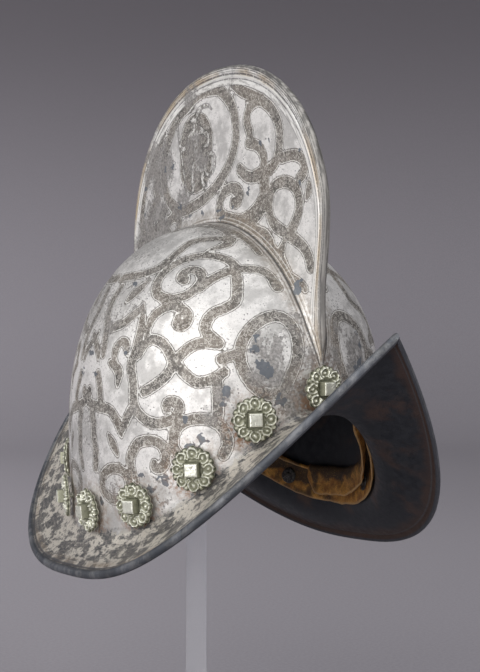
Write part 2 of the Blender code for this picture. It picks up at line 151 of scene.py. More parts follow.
# Mesh of the shell
STATIONS = 480
COMB_ROWS = 33
SKULL_ROWS = 76
FLARE_ROWS = 24
ROLL_STEPS = 9
INNER_FLARE_ROWS = 8
INNER_SKULL_ROWS = 22
INNER_COMB_ROWS = 5
FINE = 500
FLARE_FINE = 120
LINE_STEPS = 360
NEAREST_BLOCK = 1500
RIPPLE_WAVES = 7
JOIN_DISTANCE = 2e-5
DEGENERATE_EDGE = 2e-6
TINY = 1e-9
MM = 0.001
ROSETTE_LOBES = 8
ROSETTE_NOTCH = 0.86
ROSETTE_COLUMNS = 240
PETAL_ROWS = 44
PETAL_REACH_MM = 13.8
RIVET_RADIUS = 0.0017
SHANK_DEPTH_MM = 3.6
BACK_ROWS = 11
# Cast relief in mm. The cup on each lobe, then the raised forms on each lobe and in each notch:
# out from the middle, to both sides, length, width and height
CUP_OUT_MM = 9.5
CUP_NARROW = 0.96
CUP_RADIUS_MM = 2.75
CUP_SOFT_MM = 0.62
CUP_HEIGHT_MM = 1.30
CUP_OPEN = 0.9
CUP_MOUTH_MM = (6.7, 1.3, 1.2)
LOBE_FORMS = (
    (9.4, 0.0, 1.15, 1.15, 1.45), (12.5, 1.5, 0.85, 0.85, 0.9), (7.0, 1.75, 0.75, 0.75, 1.0),
    (13.2, 0.0, 0.6, 0.6, -0.6),
)
NOTCH_FORMS = (
    (12.0, 0.0, 1.6, 0.9, 1.45), (12.0, 0.0, 1.5, 0.24, -0.6), (6.4, 0.0, 0.6, 0.6, 0.8),
    (10.0, 0.0, 0.5, 0.5, -0.5),
)
WASHER_COLUMNS = 48
BAND_STATIONS = 320
BAND_ROWS = 10
BAND_LIMIT_MM = 14.0
BAND_UPPER_MM = 10.0
BAND_LOWER_MM = -10.6
# The leather's middle and its folded flap, in from the outer face
BAND_IN_MM = 2.95
FLAP_IN_MM = 7.9
FLAP_LEAST_MM = 1.2
# Stretches where the band is folded in: from and to in degrees of turn, length in mm
FLAPS = ((20.0, 106.0, 16.0), (-66.0, -28.0, 8.0), (-160.0, -118.0, 11.0), (140.0, 172.0, 7.0))

# Stage and camera
STAGE_RADIUS = 2.9
STAGE_CURVE = 1.0
STAGE_HEIGHT = 2.6
STAGE_MIDDLE = 0.15
STAGE_COLUMNS = 160
STAGE_FLAT_ROWS = 14
STAGE_CURVE_ROWS = 20
CAMERA_AZIMUTH_DEG = -32.97
CAMERA_ELEVATION_DEG = 3.3
CAMERA_TARGET = (0.0, -0.00325, 0.26397)
CAMERA_DISTANCE = 0.8622
CAMERA_LENS_MM = 72.8
CAMERA_SENSOR_MM = 36.0
CAMERA_REACH = 50
CAMERA_SHIFT = (0.0282, 0.0549)
WORLD_COLOUR = (0.92, 0.93, 1.0)
WORLD_STRENGTH = 0.30
# Name, azimuth in degrees, distance, height, size, power, colour and aim of each soft lamp
HELMET = (0.0, 0.0, 0.30)
LIGHTS = (
    ("key", -62.0, 1.9, 1.15, (2.1, 2.0), 31.5, (1.0, 0.985, 0.965), HELMET),
    ("side", -108.0, 2.1, 1.0, (2.0, 1.8), 14.0, (1.0, 1.0, 1.0), HELMET),
    ("front", 12.0, 2.1, 0.9, (1.4, 1.4), 14.0, (0.98, 0.985, 1.0), HELMET),
    ("top", 35.0, 0.7, 2.3, (1.6, 1.6), 14.0, (1.0, 1.0, 1.0), HELMET),
    ("low", -58.0, 1.5, 0.12, (1.4, 0.5), 5.5, (1.0, 0.99, 0.98), HELMET),
    ("wall", -150.0, 1.7, 1.0, (0.8, 0.8), 17.0, (1.0, 0.98, 1.0), (0.9, 2.6, 0.25)),
)

# Lines cut along the comb's edge: mm under the ridge, half width, strength
RIM_LINES_MM = (
    (0.5, 0.10, 0.5), (1.4, 0.12, 0.8), (2.6, 0.16, 0.9), (3.9, 0.12, 0.6), (5.6, 0.40, 0.85),
    (8.6, 0.22, 0.7), (12.4, 0.10, 0.6),
)
# Lines along the comb's foot: mm from it, half width, strength, colour
FOOT_LINES_MM = (
    (0.2, 0.3, 0.9, (0.09, 0.085, 0.08)), (1.7, 0.05, 0.55, (0.80, 0.79, 0.76)),
    (2.6, 0.10, 0.5, (0.20, 0.18, 0.15)), (3.9, 0.05, 0.5, (0.80, 0.79, 0.76)),
)

# Colours
STEEL_METALLIC = 0.5
GROUND_BRIGHT = (0.77, 0.755, 0.735)
GROUND_DULL = (0.50, 0.49, 0.475)
GROUND_SPECK = (0.15, 0.15, 0.155)
GROUND_STAIN = (0.34, 0.33, 0.31)
PIT = (0.07, 0.07, 0.075)
STRAP_DARK = (0.085, 0.078, 0.072)
STRAP_LIGHT = (0.215, 0.198, 0.178)
STRAP_DOT = (0.045, 0.043, 0.04)
STRAP_SCROLL = (0.56, 0.535, 0.49)
EDGE_BRIGHT = (0.84, 0.83, 0.80)
EDGE_DARK = (0.075, 0.075, 0.08)
STRIP_DULL = (0.44, 0.43, 0.41)
STRIP_BRIGHT = (0.86, 0.85, 0.82)
BEAD = (0.74, 0.73, 0.70)
GOLDEN = (0.42, 0.30, 0.15)
CROWN_DARK = (0.085, 0.078, 0.070)
CROWN_LIGHT = (0.36, 0.34, 0.31)
WORN_DARK = (0.075, 0.073, 0.074)
WORN_LIGHT = (0.33, 0.315, 0.30)
BROWNISH = (0.27, 0.215, 0.16)
LOSS = (0.13, 0.145, 0.165)
RUST = (0.30, 0.16, 0.08)
BRIM_DARK = (0.07, 0.072, 0.078)
BRIM_MID = (0.24, 0.225, 0.205)
# bare steel of the brim, also used for the painted highlight along the rolled edge
BRIM_BARE_AND_HIGHLIGHT = (0.64, 0.60, 0.53)
BRIM_SPECK = (0.07, 0.075, 0.08)
BRIM_RIM = (0.055, 0.062, 0.075)
BRIM_RIM_BRIGHT = (0.125, 0.135, 0.155)
STREAK = 0.28
INNER_DARK = (0.011, 0.013, 0.018)
INNER_MID = (0.028, 0.030, 0.036)
INNER_RUST = (0.085, 0.045, 0.030)
INNER_SPECK = (0.008, 0.008, 0.010)
# Cast metal: the recess tone is painted shade in the hollows, the high tone a painted highlight on the
# raised tops
CAST_RECESS_SHADE = (0.10, 0.105, 0.072)
CAST_BODY = (0.36, 0.36, 0.27)
CAST_HIGHLIGHT = (0.74, 0.745, 0.65)
CAST_GREEN = (0.22, 0.25, 0.18)
CAST_SPECK = (0.09, 0.09, 0.08)
IRON_DARK = (0.035, 0.034, 0.034)
IRON_WORN = (0.16, 0.15, 0.14)
LEATHER_DEEP = (0.30, 0.115, 0.022)
LEATHER_GOLD = (0.72, 0.36, 0.07)
LEATHER_BURNT = (0.035, 0.020, 0.012)
LEATHER_FRAYED = (0.50, 0.32, 0.15)
LEATHER_PALE = (0.72, 0.46, 0.16)
ACRYLIC_TINT = (0.90, 0.92, 0.95)
ACRYLIC_CLEAR = (0.98, 0.98, 1.0)
FELT_DARK = (0.03, 0.03, 0.034)
FELT_LIGHT = (0.10, 0.10, 0.11)
PAPER_LOW = (0.285, 0.270, 0.294)
PAPER_HIGH = (0.323, 0.306, 0.332)
PAPER_SHADE = (0.130, 0.121, 0.134)
PAPER_SHADE_FROM, PAPER_SHADE_TO = 0.15, 1.25

# Strapwork of the skull's -X side, from its front to its side. Each strap is its half width in
# millimetres and its centre line: turn in degrees, place, and, where it tapers, the half width.
SKULL_STRAPS = (
    # great spiral
    (2.3, ((42.5, 1.792), (47.8, 1.802), (52.8, 1.788), (58.2, 1.755), (63, 1.703), (65.8, 1.65),
        (66.8, 1.602), (65.2, 1.562), (61.8, 1.542), (56.5, 1.545), (52, 1.572), (50, 1.62),
        (50.5, 1.66), (53.5, 1.682), (56.8, 1.675), (58.5, 1.652), (58, 1.63), (56, 1.625))),
    # crown arc
    (2.3, ((49, 1.615), (47.8, 1.66), (45.8, 1.718), (43.2, 1.785), (39.8, 1.845), (35.8, 1.895),
        (31.8, 1.905), (28.2, 1.895), (27.5, 1.925, 0.5))),
    # s band
    (2.4, ((42.8, 1.778), (39.5, 1.738), (36.8, 1.69), (35, 1.632), (37, 1.575), (40, 1.532),
        (41.2, 1.482), (40.2, 1.445), (37.5, 1.422), (35.5, 1.408))),
    # diagonal
    (2.3, ((35.2, 1.405), (41, 1.4), (44.8, 1.38), (47.8, 1.35), (50, 1.32), (52.2, 1.292),
        (55, 1.275), (58.2, 1.262), (60.5, 1.255))),
    # hook
    (2.2, ((61.8, 1.402, 0.3), (62, 1.438, 1.6), (61.3, 1.472), (58.5, 1.502), (55.2, 1.518),
        (51.5, 1.515), (48.5, 1.498), (47.8, 1.472), (49.2, 1.453), (51.2, 1.46),
        (51.5, 1.478, 1.6))),
    # ring top
    (2.2, ((63.8, 1.355), (61.8, 1.385), (58.8, 1.4), (55, 1.39), (52.2, 1.365), (50.5, 1.338))),
    # long stem
    (2.3, ((67.8, 1.508, 0.2), (66, 1.465, 1.5), (64.8, 1.418), (65.2, 1.368), (66.2, 1.335),
        (65.8, 1.305), (64.8, 1.275), (64.8, 1.245), (64, 1.22), (61.8, 1.198), (58, 1.178),
        (54.2, 1.17), (50.3, 1.172), (48, 1.19), (48.2, 1.208), (50.3, 1.218), (52, 1.213),
        (52.2, 1.2, 1.5))),
    # under loop
    (2.2, ((47.5, 1.31), (45, 1.285), (42, 1.262), (38.5, 1.258), (35.2, 1.268), (32.8, 1.285))),
    # short post
    (2.4, ((35, 1.26), (35, 1.218), (35.2, 1.178), (35.5, 1.14))),
    # great ring
    (2.4, ((49.2, 1.078), (50.8, 1.105), (50.5, 1.13), (48.8, 1.148), (45.8, 1.155), (42, 1.15),
        (38.2, 1.132), (35.2, 1.102), (33.8, 1.07), (33.8, 1.04), (35.5, 1.025))),
    # low spiral
    (2.3, ((65.5, 1.065, 0.6), (67.2, 1.088, 1.9), (67.5, 1.108), (66.2, 1.125), (63.5, 1.14),
        (59.5, 1.14), (56, 1.128), (54, 1.105), (54.2, 1.085), (56.2, 1.075), (58.2, 1.08),
        (58.2, 1.09, 1.4))),
    # low ring
    (2.2, ((73.5, 1.042), (78, 1.045), (81.5, 1.058), (82, 1.072), (80.5, 1.088), (76.5, 1.098),
        (72.5, 1.095), (69.8, 1.082), (69, 1.065), (70.5, 1.05), (73.5, 1.042))),
    # front ring
    (2.6, ((13.5, 1.158), (18.8, 1.16), (22.5, 1.198), (25.5, 1.262), (27.5, 1.335), (28, 1.41),
        (26.8, 1.5), (24.5, 1.6), (21, 1.713), (16.8, 1.778), (12.2, 1.762), (9.5, 1.648),
        (9.2, 1.463), (10.8, 1.305), (13.5, 1.158))),
    # ring link
    (2.2, ((33.8, 1.338), (31.3, 1.355), (28.5, 1.368))),
    # crest band
    (2.4, ((88, 1.592), (78.8, 1.602), (72, 1.632), (69, 1.675), (68.5, 1.735), (68.5, 1.785),
        (66.8, 1.822), (62.5, 1.865), (58.2, 1.912))),
    # crest tail
    (2.3, ((58.2, 1.912), (56.2, 1.862), (58.2, 1.798, 0.6))),
    # side leaf
    (2.6, ((70.8, 1.592, 0.3), (72.8, 1.56, 2.2), (75, 1.532, 2.6), (76.8, 1.505, 0.4))),
    # side branch
    (2.2, ((67.8, 1.5, 0.4), (70, 1.472), (74.2, 1.44), (79.5, 1.425))),
    # side stem
    (2.3, ((84.5, 1.552), (85.8, 1.508), (85, 1.463), (82.8, 1.422), (82, 1.39),
        (81.5, 1.352, 1.8))),
    # side hook
    (2, ((68.8, 1.355, 0.6), (69.8, 1.38), (72.2, 1.388), (74.5, 1.372), (74.8, 1.35))),
    # side bud
    (2.6, ((76.8, 1.332, 1), (71.8, 1.31, 2.6), (72, 1.275, 0.8))),
    # side twig
    (1.9, ((87.5, 1.415, 0.4), (91.2, 1.388, 1.8), (95, 1.36, 2), (95.8, 1.34, 0.6))),
    # side prop
    (2, ((83.2, 1.302), (81.5, 1.272), (80.5, 1.24))),
    # side arc
    (2.3, ((92, 1.262), (88, 1.235), (80.8, 1.225), (75.5, 1.218), (72.5, 1.198), (70.8, 1.178),
        (70.5, 1.16, 0.3))),
    # side vee
    (2, ((66, 1.213), (68.5, 1.188), (70.5, 1.162, 0.3))),
    # side drop
    (2.2, ((86.2, 1.215), (84.8, 1.19), (85, 1.162), (84.2, 1.13), (85.2, 1.1))),
    # crease band
    (1.6, ((45.5, 1.955), (52, 1.962), (60, 1.962), (70, 1.955), (80, 1.945), (90, 1.94))),
    # crown leaf
    (1.2, ((58, 1.912), (66, 1.93), (75, 1.925), (84, 1.9), (92, 1.86))),
    # side seed
    (2.3, ((76.5, 1.165, 0.6), (74.5, 1.145, 2.2), (72.8, 1.122, 0.4))),
)

COMB_STRAPS = (
    # medallion
    (3, ((88.2, 0.86), (82.2, 0.74), (79.5, 0.618), (79.2, 0.482), (82.2, 0.345), (88.8, 0.225),
        (98.5, 0.162), (110.5, 0.19), (118, 0.332), (120.2, 0.512), (118.2, 0.658), (114.5, 0.75),
        (108.8, 0.82), (101.5, 0.855), (95, 0.88), (88.2, 0.86))),
    # arch
    (2.8, ((82.5, 0.883), (78, 0.835), (70.8, 0.822), (64, 0.812), (59.3, 0.76), (57.2, 0.652),
        (57.2, 0.532), (62, 0.4), (69.2, 0.328), (75, 0.352))),
    # arch inner
    (2.6, ((69, 0.83), (73.5, 0.76), (74.8, 0.668), (72.2, 0.6))),
    # bead
    (2.5, ((72.5, 0.528), (67.2, 0.54), (63.2, 0.498), (62.8, 0.418), (66.8, 0.348))),
    # comb spiral
    (2.7, ((61.3, 0.365), (59.5, 0.28), (61.8, 0.165), (67.2, 0.06), (74.2, 0.035), (81.5, 0.052),
        (84.5, 0.12), (82.5, 0.195), (77, 0.23), (72.8, 0.208), (72.8, 0.152), (76, 0.138))),
    # comb stem
    (2.3, ((59.3, 0.368), (57, 0.26), (58.8, 0.135), (63, 0.035), (66.8, 0.035))),
    # comb oval
    (2.7, ((39.8, 0.298), (39.2, 0.452), (40.8, 0.558), (45, 0.568), (50.3, 0.5), (54.8, 0.39),
        (55.2, 0.28), (52.5, 0.198), (47.2, 0.185), (40.2, 0.248), (34, 0.34), (28, 0.45),
        (23.8, 0.512))),
    # foot curl
    (2.2, ((63, 0.035), (59, 0.035), (52.2, 0.065), (47.2, 0.055), (45, 0.035), (41, 0.035))),
    # foot leaf
    (2.5, ((40.8, 0.178, 1), (39.8, 0.062), (35.8, 0.035), (29, 0.035), (21, 0.245, 1.2))),
    # rim hook
    (2.5, ((54.5, 0.608), (48.8, 0.74), (44.2, 0.802), (43, 0.748), (44.2, 0.66))),
    # rim leaf
    (2.3, ((39.5, 0.788, 0.5), (38.2, 0.742, 2.3), (38, 0.662, 0.4))),
)

# The medallion's figure on the comb, a plain standing soldier, as straps of the same kind
FIGURE_STRAPS = (
    # head, brim of the hat and plume
    (2.1, ((98.8, 0.700), (98.8, 0.722))),
    (0.8, ((95.6, 0.728), (98.8, 0.742), (102.0, 0.728))),
    (1.0, ((98.6, 0.752), (96.0, 0.785), (92.6, 0.780), (90.6, 0.745, 0.3))),
    # shoulders, chest, waist and skirt
    (2.2, ((95.8, 0.640), (98.8, 0.655), (101.8, 0.640))),
    (3.0, ((98.8, 0.640), (98.8, 0.590), (98.8, 0.540, 2.2))),
    (2.2, ((98.8, 0.520), (98.6, 0.480, 4.0), (98.4, 0.435, 5.2))),
    # legs and feet
    (1.7, ((96.8, 0.430), (96.0, 0.350), (95.6, 0.275, 1.2), (93.2, 0.262, 0.8))),
    (1.7, ((100.8, 0.430), (101.8, 0.350), (102.2, 0.275, 1.2), (104.8, 0.262, 0.8))),
    # arms, one on the hip and one on a staff
    (1.3, ((95.6, 0.630), (92.6, 0.585), (92.8, 0.530), (96.2, 0.505))),
    (1.3, ((102.0, 0.630), (104.8, 0.590), (107.4, 0.625))),
    (0.7, ((107.8, 0.810), (107.4, 0.625), (107.0, 0.450), (106.6, 0.262))),
    (1.2, ((107.9, 0.800), (108.0, 0.845, 0.3))),
    # shield at the other side
    (1.0, ((91.6, 0.470), (89.2, 0.430), (89.4, 0.360), (91.8, 0.320), (94.0, 0.360), (93.8, 0.430),
        (91.6, 0.470))),
)
MEDALLION_CENTRE_DEG = 99.0
FIELD_STRAP = (20.0, ((99.5, 0.44), (99.0, 0.50), (98.5, 0.57)))

# Bare patches where the etched skin has come off, on the skull: turn, place, radius in mm
SKULL_LOSSES = (
    (33.0, 1.21, 2.6), (33.4, 1.17, 2.2), (23.6, 1.42, 1.7), (15.5, 1.10, 2.4), (14.8, 1.12, 2.0),
    (56.0, 1.05, 3.0), (60.5, 1.045, 2.4), (20.5, 1.33, 3.2), (19.0, 1.29, 3.6), (46.0, 1.16, 1.3),
    (45.0, 1.085, 3.4), (41.0, 1.09, 2.6), (64.0, 1.075, 1.5), (77.0, 1.57, 1.6), (89.0, 1.36, 2.2),
    (95.0, 1.31, 1.9), (24.0, 1.50, 1.5), (28.0, 1.115, 1.8), (84.0, 1.04, 1.9), (70.0, 1.36, 1.2),
)
COMB_LOSSES = (
    (25.5, 0.11, 2.6), (24.0, 0.06, 2.8), (62.0, 0.62, 1.6), (66.5, 0.57, 1.5), (112.0, 0.24, 1.7),
    (48.0, 0.79, 1.3), (76.0, 0.11, 1.1), (84.5, 0.08, 1.6), (43.5, 0.66, 1.3), (100.0, 0.03, 1.5),
)

# Rows of the shell's mesh near its edges, in mm from the comb's ridge or the brim's edge
RIM_ROWS_MM = (0, 0.25, 0.6, 1.1, 1.7, 2.4, 3.2, 4.1, 4.8, 5.4, 5.9, 6.4, 6.9, 7.4, 8.1, 9.2)
RIM_SHARE = 0.45
EDGE_ROWS_MM = (10.0, 8.4, 7.2, 6.5, 5.9, 5.2, 4.2)
INNER_EDGE_ROWS_MM = (9.0, 6.5, 4.4)
ROLL_SPAN_DEG = (-35.0, 185.0)
COMB_THIN = 0.0006
FAR_MM = 99.0
MARK_MM = 12.0
STRAP_DEPTH_MM = 0.13
BRIM_GROOVE_MM = 6.0
BRIM_GROOVE_DEPTH_MM = 0.30
NORMAL_STEP = 0.01
LEAST_SIDE = 0.3
# From and to how far round each rosette its rust fades, in metres
RUST_SPREAD = (0.013, 0.024)
# Hammered unevenness of the wall: length of its waves in metres, seed, height in mm
WALL_WAVES = ((0.055, 3, 0.16), (0.021, 5, 0.05))
STRAP_BORDER_MM = 1.5
COMB_FRONT_DEG = (21.0, MEDALLION_CENTRE_DEG)
COMB_REAR_DEG = (177.0, MEDALLION_CENTRE_DEG)

# Worn and stained areas: turn, place or share of the comb's height, radius in mm, strength
SKULL_WEAR = (
    (19.5, 1.45, 15, 0.75), (18.5, 1.30, 14, 0.95), (7.0, 1.10, 17, 0.95), (28.0, 1.06, 15, 0.75),
    (38.0, 1.14, 9, 0.55), (33.0, 1.20, 9, 0.7), (14.0, 1.80, 14, 0.6), (6.0, 1.60, 12, 0.7),
    (70.0, 1.94, 20, 0.65), (92.0, 1.93, 22, 0.65), (50.0, 1.97, 10, 0.4), (102.0, 1.50, 34, 0.5),
    (88.0, 1.18, 18, 0.45), (78.0, 1.06, 14, 0.5), (57.0, 1.03, 12, 0.5), (66.0, 1.20, 8, 0.4),
    (94.0, 1.72, 20, 0.45), (30.0, 1.36, 8, 0.4), (84.0, 1.36, 10, 0.4), (45.0, 1.48, 6, 0.3),
)
COMB_WEAR = (
    (99.0, 0.50, 24, 0.60), (110.0, 0.20, 20, 0.75), (122.0, 0.72, 26, 1.0), (130.0, 0.36, 26, 1.0),
    (84.0, 0.96, 12, 0.50), (64.0, 0.62, 7, 0.25), (150.0, 0.50, 34, 1.0), (100.0, 0.93, 14, 0.7),
    (70.0, 0.95, 6, 0.25),
)


def stack(x, y, z):
    return np.stack(np.broadcast_arrays(x, y, z), axis=-1)


def mix(start, end, share):
    return start + (end - start) * np.asarray(share)[..., None]


def unit(vectors):
    return vectors / np.maximum(np.linalg.norm(vectors, axis=-1, keepdims=True), TINY)


def smooth_step(value, low, high):
    share = np.clip((value - low) / (high - low), 0.0, 1.0)
    return share * share * (3 - 2 * share)


def bell(value, centre, width):
    return np.exp(-(((value - centre) / width) ** 2))


def walked_along(points):
    """Distance from the first point to each, along the line of them all."""
    steps = np.linalg.norm(np.diff(points, axis=0), axis=1)
    return np.concatenate(([0.0], np.cumsum(steps)))


def side_of(values):
    return np.where(values < 0, -1.0, 1.0)


def round_angles(columns):
    return 2 * math.pi * np.arange(columns) / columns


def ring(reach, angles, height):
    return stack(reach * np.cos(angles), reach * np.sin(angles), height)


def signed_power(value, power):
    return np.sign(value) * np.abs(value) ** power


def ripple(points, size, seed):
    """Smooth unevenness from -1 to 1 over points, with waves about this long."""
    draw = np.random.default_rng(seed)
    total = np.zeros(points.shape[:-1])
    for _ in range(RIPPLE_WAVES):
        direction = unit(draw.normal(size=3))
        phase = draw.uniform(0, 2 * math.pi)
        length = size * draw.uniform(0.7, 1.5)
        total += np.sin(points @ direction * (2 * math.pi / length) + phase)
    return total / math.sqrt(2 * RIPPLE_WAVES)


# Shape of the wall


def line_height(turn):
    return LINE_HEIGHT + LINE_RISE * np.abs(np.cos(turn)) ** LINE_RISE_POWER


def brim_edge(turn):
    along = np.cos(turn)
    reach = np.abs(along)
    rise = np.where(along > 0, FRONT_RISE, REAR_RISE)
    side_power = np.where(along > 0, FRONT_SIDE_POWER, REAR_SIDE_POWER)
    peak_power = np.where(along > 0, FRONT_PEAK_POWER, REAR_PEAK_POWER)
    width = np.maximum(1 - reach**side_power, 0.0) ** peak_power
    return stack(
        np.sign(np.sin(turn)) * BRIM_HALF_WIDTH * width,
        -BRIM_HALF_LENGTH * along,
        rise * reach**BRIM_RISE_POWER,
    )


def throat(turn):
    """Where the skull turns out into the brim."""
    return stack(
        THROAT_HALF_WIDTH * np.sin(turn),
        -THROAT_CENTRE - THROAT_HALF_LENGTH * np.cos(turn),
        line_height(turn) - THROAT_UNDER_LINE,
    )


def crest(turn):
    foot = math.radians(CREST_FOOT_DEG)
    angle = foot + np.abs(turn) * (math.pi - 2 * foot) / math.pi
    return stack(
        0.0,
        -CREST_CENTRE - CREST_HALF_LENGTH * np.cos(angle),
        CREST_BASE + CREST_HEIGHT * np.sin(angle),
    )


def comb_outline(angle):
    return stack(
        0.0,
        -COMB_CENTRE - COMB_HALF_LENGTH * signed_power(np.cos(angle), 2 / COMB_POWER),
        COMB_BASE + COMB_HEIGHT * signed_power(np.sin(angle), 2 / COMB_POWER),
    )


def ridge(turn):
    """The comb's edge, which bends out at both feet to meet the skull's crest."""
    foot = math.radians(COMB_FOOT_DEG)
    blend = math.radians(COMB_FOOT_BLEND_DEG)
    turn = np.abs(turn)
    point = comb_outline(foot + turn * (math.pi - 2 * foot) / math.pi)
    for end, foot_angle in ((0.0, foot), (math.pi, math.pi - foot)):
        near = np.maximum(1 - np.abs(turn - end) / blend, 0.0)
        gap = crest(np.float64(end)) - comb_outline(np.float64(foot_angle))
        point = point + near[..., None] ** 2 * gap
    inset = np.minimum(turn / math.radians(COMB_FRONT_INSET_DEG), 1.0)
    point[..., 1] += COMB_FRONT_INSET * np.sin(math.pi * inset) ** 2
    return point


def foot_half_width(turn):
    reach = THROAT_HALF_WIDTH * np.abs(np.sin(turn))
    return COMB_FOOT_HALF_WIDTH * reach / (reach + COMB_FOOT_SPREAD * COMB_FOOT_HALF_WIDTH)


def flare_point(turn, share):
    edge = brim_edge(turn)
    top = throat(turn)
    bend = mix(top, edge, np.full(np.shape(turn), FLARE_LEAD))
    bend[..., 2] = top[..., 2] - FLARE_DROP
    return mix(mix(edge, bend, share), mix(bend, top, share), share)


def skull_point(turn, share):
    low = throat(turn)
    high = crest(turn)
    half_width = np.abs(low[..., 0])
    ratio = np.clip(foot_half_width(turn) / np.maximum(half_width, TINY), 0.0, 1.0)
    last = np.where(half_width > TINY, np.arccos(ratio ** (SKULL_POWER / 2)), math.pi / 2)
    angle = share * last
    across = np.maximum(np.cos(angle), 0.0) ** (2 / SKULL_POWER)
    up = np.sin(angle) ** (2 / SKULL_POWER)
    swell = SKULL_FULLNESS + SKULL_FRONT_FULLNESS * np.cos(turn)
    fullness = 1 + swell / THROAT_HALF_WIDTH * np.sin(2 * angle)
    return stack(
        low[..., 0] * across * fullness,
        low[..., 1] + (high[..., 1] - low[..., 1]) * np.sin(angle) ** 2,
        low[..., 2] + (high[..., 2] - low[..., 2]) * up,
    )


def outer_point(turn, place):
    turn, place = np.broadcast_arrays(np.asarray(turn, float), np.asarray(place, float))
    flare = flare_point(turn, np.clip(place, 0.0, 1.0))
    skull = skull_point(turn, np.clip(place - 1, 0.0, 1.0))
    return np.where((place < 1)[..., None], flare, skull)


def outer_normal(turn, place):
    turn, place = np.broadcast_arrays(np.asarray(turn, float), np.asarray(place, float))
    step = NORMAL_STEP
    side = outer_point(turn + step, place) - outer_point(turn - step, place)
    low = np.maximum(place - step, 0.0)
    high = np.minimum(place + step, 2.0)
    high = np.where((place <= 1) & (high > 1), 1.0, high)
    return unit(np.cross(side, outer_point(turn, high) - outer_point(turn, low)))


def inset_point(turn, place, depth):
    """A point under the outer face, kept on its side of the plane of symmetry."""
    outer = outer_point(turn, place)
    point = outer - outer_normal(turn, place) * np.asarray(depth)[..., None]
    side = side_of(outer[..., 0])
    point[..., 0] = side * np.maximum(side * point[..., 0], LEAST_SIDE * np.abs(outer[..., 0]))
    return point


def comb_half_width(turn, up):
    """Half thickness of the comb, this share of the way from the skull's crest to its rim."""
    full = 2.8 + 2.2 * (1 - up) ** 1.5 + 5.2 * np.exp(-up / 0.065)
    of_foot = np.interp(up, (0.0, 0.10, 0.28, 0.62, 1.0), (1.0, 0.86, 0.78, 0.72, 0.70))
    return np.minimum(full * MM, of_foot * foot_half_width(turn))


def comb_ends(turn):
    """The middle of the comb's foot, and its ridge over it."""
    low = outer_point(turn, np.full(np.shape(turn), 2.0))
    low[..., 0] = 0.0
    return low, ridge(turn)


class WallLine:
    """Places along the wall at one turn, by distance from the line of rosettes."""

    def __init__(self, turn):
        self.places = np.linspace(0.0, 2.0, FINE)
        points = outer_point(turn, self.places)
        walked = walked_along(points)
        skull = self.places >= 1
        line = np.interp(line_height(turn), points[skull, 2], self.places[skull])
        self.line_place = float(line)
        self.distances = walked - np.interp(line, self.places, walked)

    def place(self, distance):
        return np.interp(distance, self.distances, self.places)


def wall_frame(turn, reach):
    """Matrix on the outer face at the line of rosettes: Z out of the wall, X along the line."""
    step = ROSETTE_RADIUS / THROAT_HALF_LENGTH
    ahead = outer_point(turn + step, WallLine(turn + step).line_place)
    behind = outer_point(turn - step, WallLine(turn - step).line_place)
    here = WallLine(turn)
    above = outer_point(turn, here.place(reach))
    below = outer_point(turn, here.place(-reach))
    along = unit(ahead - behind)
    out = unit(np.cross(along, above - below))
    matrix = Matrix(np.array([along, np.cross(out, along), out]).T.tolist()).to_4x4()
    matrix.translation = Vector(outer_point(turn, here.line_place))
    return matrix


def level_frame(turn, reach):
    """The wall's frame turned about its Z until its X is level, as the bosses stand."""
    matrix = wall_frame(turn, reach)
    out = matrix.to_3x3() @ Vector((0, 0, 1))
    level = Vector((0, 0, 1)).cross(out).normalized()
    turned = Matrix((level, out.cross(level), out)).transposed().to_4x4()
    turned.translation = matrix.translation
    return turned


def rosette_turns():
    """Turns of the rosettes, evenly spaced along their line and starting at the front."""
    turns = np.linspace(0.0, 2 * math.pi, 2 * LINE_STEPS + 1)
    points = stack(
        THROAT_HALF_WIDTH * np.sin(turns), THROAT_HALF_LENGTH * np.cos(turns), line_height(turns)
    )
    walked = walked_along(points)
    goals = walked[-1] * np.arange(ROSETTE_COUNT) / ROSETTE_COUNT
    found = np.interp(goals, walked, turns)
    return np.where(found > math.pi + TINY, found - 2 * math.pi, found)


def seat_matrix():
    """How the upright helmet is leaned and lifted onto the stand."""
    pitch = Matrix.Rotation(-math.radians(SEAT_PITCH_DEG), 4, "X")
    middle = (pitch @ Vector(brim_edge(0.0)) + pitch @ Vector(brim_edge(math.pi))) / 2
    return Matrix.Translation((0, -middle.y, BRIM_LIFT)) @ pitch


# Strapwork as distances


def curve_through(rows, steps=14):
    """Points of a smooth curve through rows of numbers."""
    rows = np.array(rows, float)
    rows = np.vstack([2 * rows[0] - rows[1], rows, 2 * rows[-1] - rows[-2]])
    share = np.arange(steps)[:, None] / steps
    spans = []
    for before, start, end, after in zip(rows, rows[1:], rows[2:], rows[3:]):
        spans.append(
            0.5
            * (
                2 * start
                + (end - before) * share
                + (2 * before - 5 * start + 4 * end - after) * share**2
                + (3 * start - before - 3 * end + after) * share**3
            )
        )
    return np.vstack([*spans, rows[-2:-1]])


def strap_lines(straps, turned, border=STRAP_BORDER_MM):
    """Turn in radians, height on its surface and half width in mm, along every strap."""
    lines = []
    for half_width, points in straps:
        rows = [
            (turned(p[0]), p[1], (p[2] if len(p) > 2 else half_width) + border) for p in points
        ]
        lines.append(curve_through(rows))
    found = np.vstack(lines)
    found[:, 0] = np.radians(found[:, 0])
    return found


def comb_point(turn, up):
    """A point on the comb's plane, this share of the way up to its ridge."""
    low, top = comb_ends(turn)
    return mix(low, top, up)


def nearest(points, centres, radii):
    """Distance in mm from each point to the nearest disc's rim, negative inside one."""
    found = np.empty(len(points))
    for start in range(0, len(points), NEAREST_BLOCK):
        part = points[start : start + NEAREST_BLOCK]
        square = (
            (part**2).sum(1)[:, None] + (centres**2).sum(1)[None, :] - 2 * part @ centres.T
        )
        distance = np.sqrt(np.maximum(square, 0.0)) / MM - radii
        found[start : start + NEAREST_BLOCK] = distance.min(axis=1)
    return found


